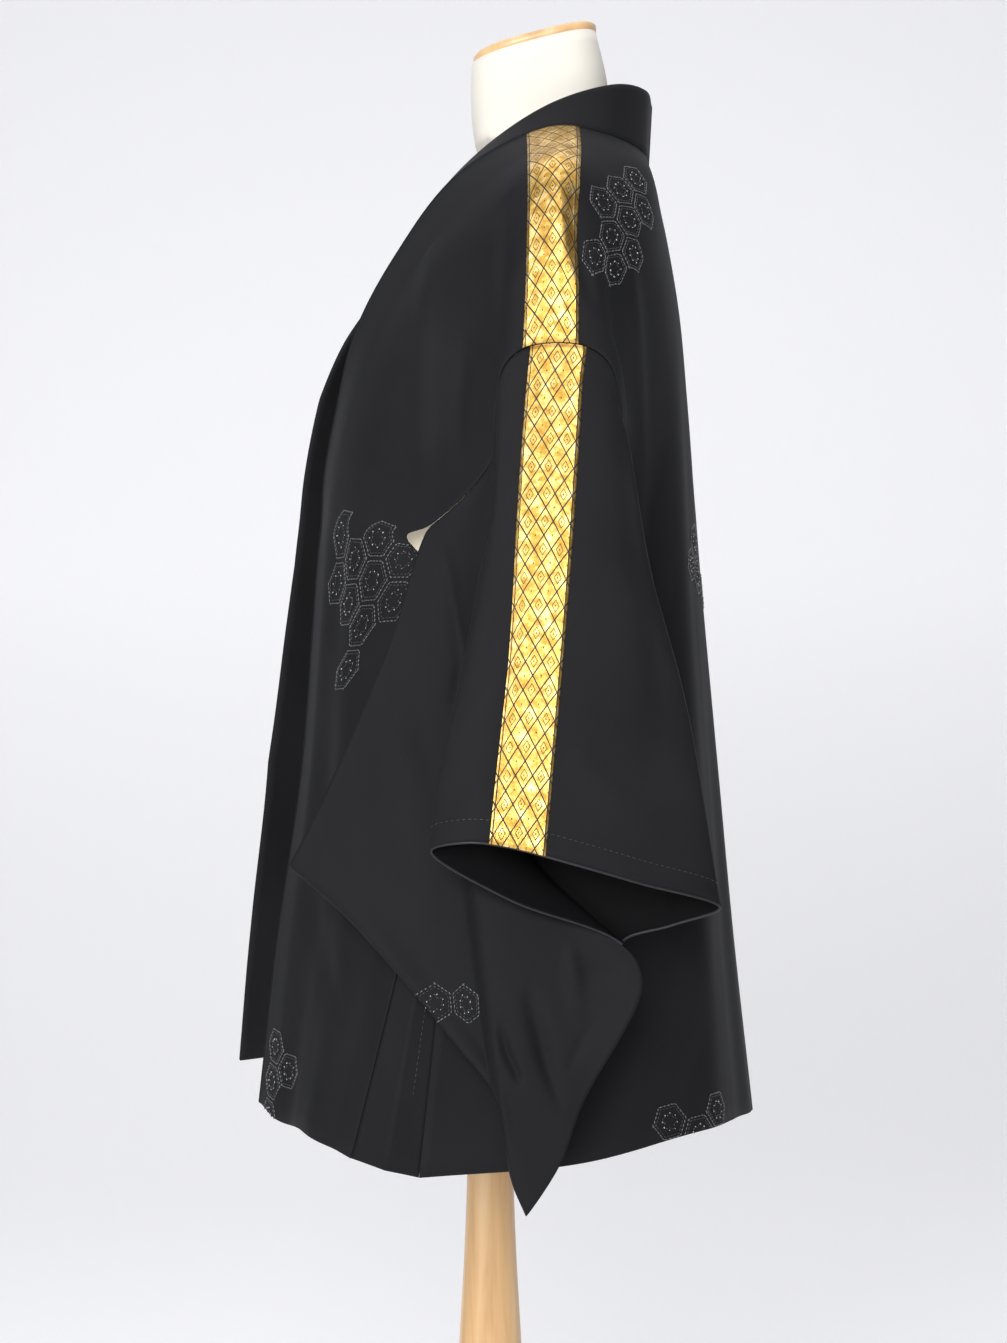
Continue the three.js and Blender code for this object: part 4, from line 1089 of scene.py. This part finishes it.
# %% Clusters
FRONT_CELLS = [(0, 0), (0, 1), (0, 2), (0, 3), (-1, 0), (-1, 1), (-2, 0), (-2, 1), (1, 0), (1, 1)]
KIKKO_CLUSTERS = {
    "body_left": [
        dict(anchor=(46, 54), up=1, cells=FRONT_CELLS),
        dict(anchor=(120, 38), up=-1,
             cells=[(0, 0), (0, 1), (-1, 0), (-1, 1), (1, 0), (1, 1), (2, 0), (2, 1), (-2, 1)]),
        dict(anchor=(3, 20), up=1, cells=[(0, 0), (-1, -1), (-1, 0), (-1, 1)]),
        dict(anchor=(199, 42), up=-1, cells=[(0, 0), (-1, 0), (-2, 0)]),
        dict(anchor=(168, 20), up=-1, cells=[(0, 0), (0, 1), (1, 0), (-1, 1)]),
    ],
    "body_right": [
        dict(anchor=(43, 48), up=1, cells=[(0, 0), (0, 1), (0, 2), (1, 0), (1, 1), (-1, 0), (2, 1)]),
        dict(anchor=(80, 40), up=1, cells=[(0, 0), (1, 0), (1, 1), (-1, 0)]),
        dict(anchor=(126, 34), up=-1, cells=[(0, 0), (0, 1), (-1, 0), (1, 1), (1, 0), (2, 1)]),
        dict(anchor=(8, 22), up=1, cells=[(0, 0), (-1, 0), (1, 1)]),
        dict(anchor=(197, 36), up=-1, cells=[(0, 0), (-1, 0), (1, 0), (1, -1)]),
    ],
    "sleeve_left": [
        dict(anchor=(50, 8), up=1, cells=[(0, -1), (0, 0), (0, 1)]),
        dict(anchor=(64, 186), up=1, cells=[(0, 0), (1, 0), (1, 1), (0, 1)]),
    ],
    "sleeve_right": [
        dict(anchor=(58, 10), up=1, cells=[(0, 0), (0, 1), (1, 0)]),
        dict(anchor=(60, 180), up=1, cells=[(0, 0), (1, 0), (1, 1)]),
    ],
}
SEED = 11
rng = np.random.default_rng(SEED)
for name, clusters in KIKKO_CLUSTERS.items():
    part, label = name.split("_")
    side = SIDES[label]
    if part == "body":
        cloth = cloth_of(body[label], -side)
    else:
        cloth = cloth_of(sleeve[label] * (side, 1, 1), side, ring=True)
    bold, fine, spots = (sum(parts, []) for parts in zip(*(embroider(cloth, c, rng) for c in clusters)))
    for prefix, paths, tree, material, sizes in (
            ("kikko", bold, stitches, silk, {"Stitch": 0.003, "Gap": 0.0003, "Thread Radius": 0.0007}),
            ("kikko_fine", fine, stitches, silk_dull, {"Stitch": 0.0024, "Thread Radius": 0.00042}),
            ("kikko_beads", [np.vstack(spots)], beads, bead_dark, {"Bead Radius": 0.00062})):
        dress(grown(f"{prefix}_{name}", paths, tree, material, sizes))
    print(name, len(bold) + len(fine), "stitched lines,", sum(len(s) for s in spots), "beads")

# %% [markdown]
# ## Piping and topstitching
# The open wrist is bound with a thin cord, and a row of small stitches holds its hem down. The same
# stitches run down each gusset beside its back seam.
#
# %% Edges and seams
HEM_WIDTH, STITCH_RISE = 17.0, 0.95
SEAM_ROWS, SEAM_COLUMN = slice(4, -4), 12


def row_from_edge(grid, normals, distance, columns, rise):
    path = []
    for j in columns:
        back_from_edge = lengths(grid[::-1, j])
        i = np.array([np.interp(distance, back_from_edge, np.arange(len(grid))[::-1])])
        here = np.array([float(j)])
        path.append(fractional(grid, i, here)[0] + fractional(normals, i, here)[0] * rise)
    return np.array(path)


for label, side in SIDES.items():
    bag = sleeve[label] * (side, 1, 1)
    out = grid_normals(bag, ring=True) * side
    open_columns = range(sewn_columns, bag.shape[1] - sewn_columns)
    edge = np.array([bag[-1, j] for j in open_columns])
    dress(grown(f"wrist_piping_{label}", [edge], cord, piping, {"Cord Radius": 0.0011, "Step": 0.004}))
    hem = row_from_edge(bag, out, HEM_WIDTH, open_columns, STITCH_RISE)
    side_seam = gusset[label] + grid_normals(gusset[label]) * -side * STITCH_RISE
    dress(grown(f"topstitch_{label}", [hem, side_seam[SEAM_ROWS, SEAM_COLUMN]], stitches, silk_dull,
                {"Stitch": 0.0028, "Gap": 0.0016, "Thread Radius": 0.0003}))
    print(label, "binding:", round(lengths(edge)[-1]), "mm, hem row:", round(lengths(hem)[-1]), "mm")

# %% [markdown]
# ## The dress form and its stand
# The form is a smooth padded shell under stretched linen, with a neck that leans forward and a thin
# wooden cap. It is lofted through rings of a rounded outline, level but for the neck's, and is a
# little fuller where the padding sits under the arms. The post and base are turned on a lathe.
#
# %% Form and stand shapes
FORM_COLUMNS = ("z", "half", "front", "back", "tilt")
FORM_ROWS = [dict(zip(FORM_COLUMNS, row)) for row in (
    (700, 118, -58, 74, 0), (712, 150, -76, 94, 0), (780, 168, -88, 108, 0),
    (860, 158, -88, 98, 0), (950, 142, -84, 78, 0), (1040, 160, -100, 90, 0),
    (1120, 168, -104, 112, 0), (1200, 172, -86, 124, 0), (1260, 182, -54, 122, 0),
    (1300, 190, -34, 120, 0), (1325, 190, -14, 114, 0), (1340, 179.5, -4, 110, 0),
    (1361, 142, 8, 106, 0), (1379, 90, 10, 104, 0), (1395, 66, -10, 104, 0.03),
    (1412, 52, -14, 100, 0.08), (1440, 49, -16, 97, 0.18), (1478, 46, -16, 88, 0.25),
)]
NECK = dict(half=50, front=-14, back=98)
NECK_BLEND, NECK_TILT, NECK_SPREAD, MIDDLE, SEGMENTS = 8, 0.03, 1.1, 48, 96
SQUARENESS, NECK_SQUARENESS = 2.1, 2.9
PADDING = dict(squareness=0.9, low=880, low_full=980, high_full=1110, high=1200)
FORM_FINE, POST_STEPS, POST_SIDES, BASE_SIDES = 4, 96, 72, 120
CAP = dict(half=44, front=-14, back=88, tilt=0.25)
CAP_RINGS = [(1478.3, 0.6), (1479.1, 0), (1483.9, 0), (1485.3, 1.4)]
POST_PROFILE = [(30, 34.3), (32, 60), (27, 120), (33, 210), (31, 300), (26, 400), (21.5, 480),
                (18.5, 575), (17.5, 699.7)]
BASE_PROFILE = [(196, 0), (200, 3), (200, 22), (198.5, 27), (194.5, 31.5), (188, 34), (120, 34), (60, 34)]


def outline_reach(row, turn, squareness):
    depth = np.where(np.sin(turn) < 0, MIDDLE - row["front"], row["back"] - MIDDLE)
    sideways, lengthways = np.abs(np.cos(turn)) / row["half"], np.abs(np.sin(turn)) / depth
    return (sideways ** squareness + lengthways ** squareness) ** (-1 / squareness)


def form_ring(row):
    turn = np.arange(SEGMENTS) / SEGMENTS * 2 * np.pi
    padded = (ease(PADDING["low"], PADDING["low_full"], row["z"])
              * (1 - ease(PADDING["high_full"], PADDING["high"], row["z"])))
    squareness = float(SQUARENESS + PADDING["squareness"] * padded
                       + (NECK_SQUARENESS - SQUARENESS) * ease(0, NECK_TILT, row["tilt"]))
    own, neck = outline_reach(row, turn, squareness), outline_reach(NECK, turn, NECK_SQUARENESS)
    blended = (own ** NECK_BLEND + neck ** NECK_BLEND) ** (1 / NECK_BLEND)
    reach = np.where((own < neck * NECK_SPREAD) & (row["tilt"] > 0), own, blended)
    y = MIDDLE + reach * np.sin(turn)
    return np.stack([reach * np.cos(turn), y, row["z"] + row["tilt"] * (y - MIDDLE)], axis=1)


def finer(rows, steps):
    curve = flow([[row[k] for k in ("z", "half", "front")] for row in rows])
    rest = flow([[row["z"], row["back"], row["tilt"] * 100] for row in rows])
    shares = np.linspace(0, 1, (len(rows) - 1) * steps + 1)
    return [dict(z=a[0], half=a[1], front=a[2], back=b[1], tilt=max(b[2], 0) / 100)
            for a, b in zip(curve(shares), rest(shares))]


def closed_loft(name, rings, material):
    count = len(rings[0])
    points = np.vstack([*rings, rings[0].mean(axis=0), rings[-1].mean(axis=0)])
    faces = [(i + k, i + (k + 1) % count, i + count + (k + 1) % count, i + count + k)
             for i in range(0, (len(rings) - 1) * count, count) for k in range(count)]
    low, high, top = len(points) - 2, len(points) - 1, (len(rings) - 1) * count
    faces += [(low, (k + 1) % count, k) for k in range(count)]
    faces += [(high, top + k, top + (k + 1) % count) for k in range(count)]
    turns = np.arange(count) / count
    uv = np.vstack([np.stack([turns, np.full(count, r[:, 2].mean() * MM)], axis=1) for r in rings]
                   + [[(0.5, 0.0)], [(0.5, 1.0)]])
    return mesh_piece(name, points, flip_if_inside_out(points, faces), uv, material)


def lathe_rings(profile, count):
    turn = np.arange(count) / count * 2 * np.pi
    return [np.stack([r * np.cos(turn), r * np.sin(turn), np.full(count, z)], axis=1) for r, z in profile]


# %% Linen and beech
def beech_material(name, stretch):
    material, tree, shader = new_material(name)
    where = add(tree, "ShaderNodeTexCoord")
    mapping = tune(add(tree, "ShaderNodeMapping"), {"Scale": stretch})
    rings = tune(add(tree, "ShaderNodeTexNoise"), {"Scale": 1.0, "Detail": 6.0, "Distortion": 0.6})
    tone = ramp(tree, rings.outputs["Fac"], [(0.3, (0.52, 0.30, 0.125)), (0.5, (0.66, 0.41, 0.19)),
                                             (0.72, (0.74, 0.50, 0.26))])
    link(tree, (where, "Object", mapping, "Vector"), (mapping, "Vector", rings, "Vector"),
         (tone, "Color", shader, "Base Color"))
    tune(shader, {"Roughness": 0.38, "Coat Weight": 0.25, "Coat Roughness": 0.2})
    bump(tree, rings.outputs["Fac"], 0.12, 0.0005, shader)
    return material


linen, _ = woven_material(
    "linen_cream", dict(per_metre=4200.0, slant=0.0, unevenness=0.6),
    [(0.3, (0.68, 0.645, 0.575)), (0.7, (0.72, 0.69, 0.62))], (0.2, 0.0003),
    {"Roughness": 0.85, "Sheen Weight": 0.15}, mapped=False)
beech_long = beech_material("beech_turned", (70, 70, 4))
beech_flat = beech_material("beech_board", (9, 70, 60))
print("wood runs along the post and across the base")

# %% Form and stand pieces
curve = flow([(r, z, 0) for r, z in POST_PROFILE])(np.linspace(0, 1, POST_STEPS + 1))
cap_rings = [form_ring(dict(CAP, z=z, half=CAP["half"] - inset, front=CAP["front"] + inset,
                            back=CAP["back"] - inset)) for z, inset in CAP_RINGS]
for name, node, slot, rings, material in (
        ("form_shell", "form_torso", "linen", [form_ring(row) for row in finer(FORM_ROWS, FORM_FINE)], linen),
        ("form_cap", "form_neck_cap", "beech", cap_rings, beech_flat),
        ("post", "stand_post", "beech", lathe_rings(curve[:, :2], POST_SIDES), beech_long),
        ("base", "stand_base", "beech", lathe_rings(BASE_PROFILE, BASE_SIDES), beech_flat)):
    dress(closed_loft(name, rings, material), node, slot)
    print(name, len(rings), "rings")

# %% [markdown]
# ## Floor, light and camera
# A plain pale backdrop and large soft lights keep the satin's own sheen as the only contrast. A very
# small lamp inside the left side stands for the light that leaks in through the side slit.
#
# %% Stage
BACKDROP = dict(width=40.0, back=-3.6, front=24.0, rise=9.0, bend=1.2)
LIGHTS = {
    "key_camera": dict(place=(3.2, -0.7, 2.0), aim=(0.0, 0.0, 0.9), size=(1.6, 2.0), power=113),
    "fill_low_front": dict(place=(2.2, -1.9, 0.5), aim=(0.1, -0.05, 1.0), size=(1.2, 1.0), power=10),
    "inside_left": dict(place=(0.150, -0.055, 0.985), aim=(0.135, -0.05, 1.07), size=(0.02, 0.02),
                        power=0.2, tint=(1.0, 0.93, 0.82)),
    "top": dict(place=(0.2, 0.1, 3.2), aim=(0.0, 0.05, 1.0), size=(2.6, 2.6), power=38),
}


def backdrop(width, back, front, rise, bend):
    profile = [(front, 0.0)] + [(back + bend - bend * math.sin(a), bend - bend * math.cos(a))
                                for a in np.linspace(0, math.pi / 2, 24)] + [(back, rise)]
    mesh = bpy.data.meshes.new("backdrop")
    points = [(x, y, z) for x, z in profile for y in (-width / 2, width / 2)]
    mesh.from_pydata(points, [], [(k, k + 1, k + 3, k + 2) for k in range(0, 2 * len(profile) - 2, 2)])
    mesh.polygons.foreach_set("use_smooth", [True] * len(mesh.polygons))
    material, tree, shader = new_material("backdrop_paper")
    tune(shader, {"Base Color": (0.88, 0.88, 0.895, 1), "Roughness": 0.9,
                  "Emission Color": (0.97, 0.97, 1.0, 1), "Emission Strength": 0.25})
    mesh.materials.append(material)
    placed("backdrop", mesh)


def area_light(name, place, aim, size, power, tint=(1, 1, 1)):
    light = bpy.data.lights.new(name, "AREA")
    light.shape, light.size, light.size_y = "RECTANGLE", *size
    light.energy, light.color = power, tint
    lamp = placed(name, light)
    lamp.location = place
    lamp.rotation_euler = (Vector(aim) - Vector(place)).to_track_quat("-Z", "Y").to_euler()


def studio_world():
    world = bpy.data.worlds.new("studio")
    bpy.context.scene.world = world
    world.use_nodes = True
    sky = world.node_tree
    lighting = tune(sky.nodes["Background"], {"Color": (0.95, 0.96, 1.0, 1), "Strength": 0.15})
    seen = tune(add(sky, "ShaderNodeBackground"), {"Color": (0.89, 0.89, 0.92, 1)})
    rays, either = add(sky, "ShaderNodeLightPath"), add(sky, "ShaderNodeMixShader")
    link(sky, (rays, "Is Camera Ray", either, 0), (lighting, "Background", either, 1),
         (seen, "Background", either, 2), (either, "Shader", sky.nodes["World Output"], "Surface"))


backdrop(**BACKDROP)
for name, values in LIGHTS.items():
    area_light(name, **values)
studio_world()
bpy.context.scene.view_settings.view_transform = "Standard"

# %% Camera
CAMERA = dict(place=(2.0, 0.011, 0.96), sensor=36.0, lens=64.33)
camera_data = bpy.data.cameras.new("camera")
camera_data.sensor_width, camera_data.lens = CAMERA["sensor"], CAMERA["lens"]
camera = placed("camera", camera_data)
camera.location = CAMERA["place"]
camera.rotation_euler = (math.radians(90), 0, math.radians(90))
bpy.context.scene.camera = camera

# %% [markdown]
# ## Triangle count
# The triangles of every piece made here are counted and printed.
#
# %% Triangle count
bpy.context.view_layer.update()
triangles = {n: sum(len(p.vertices) - 2 for p in o.data.polygons) for n, o in made.items()}
print("triangles:", sum(triangles.values()), triangles)
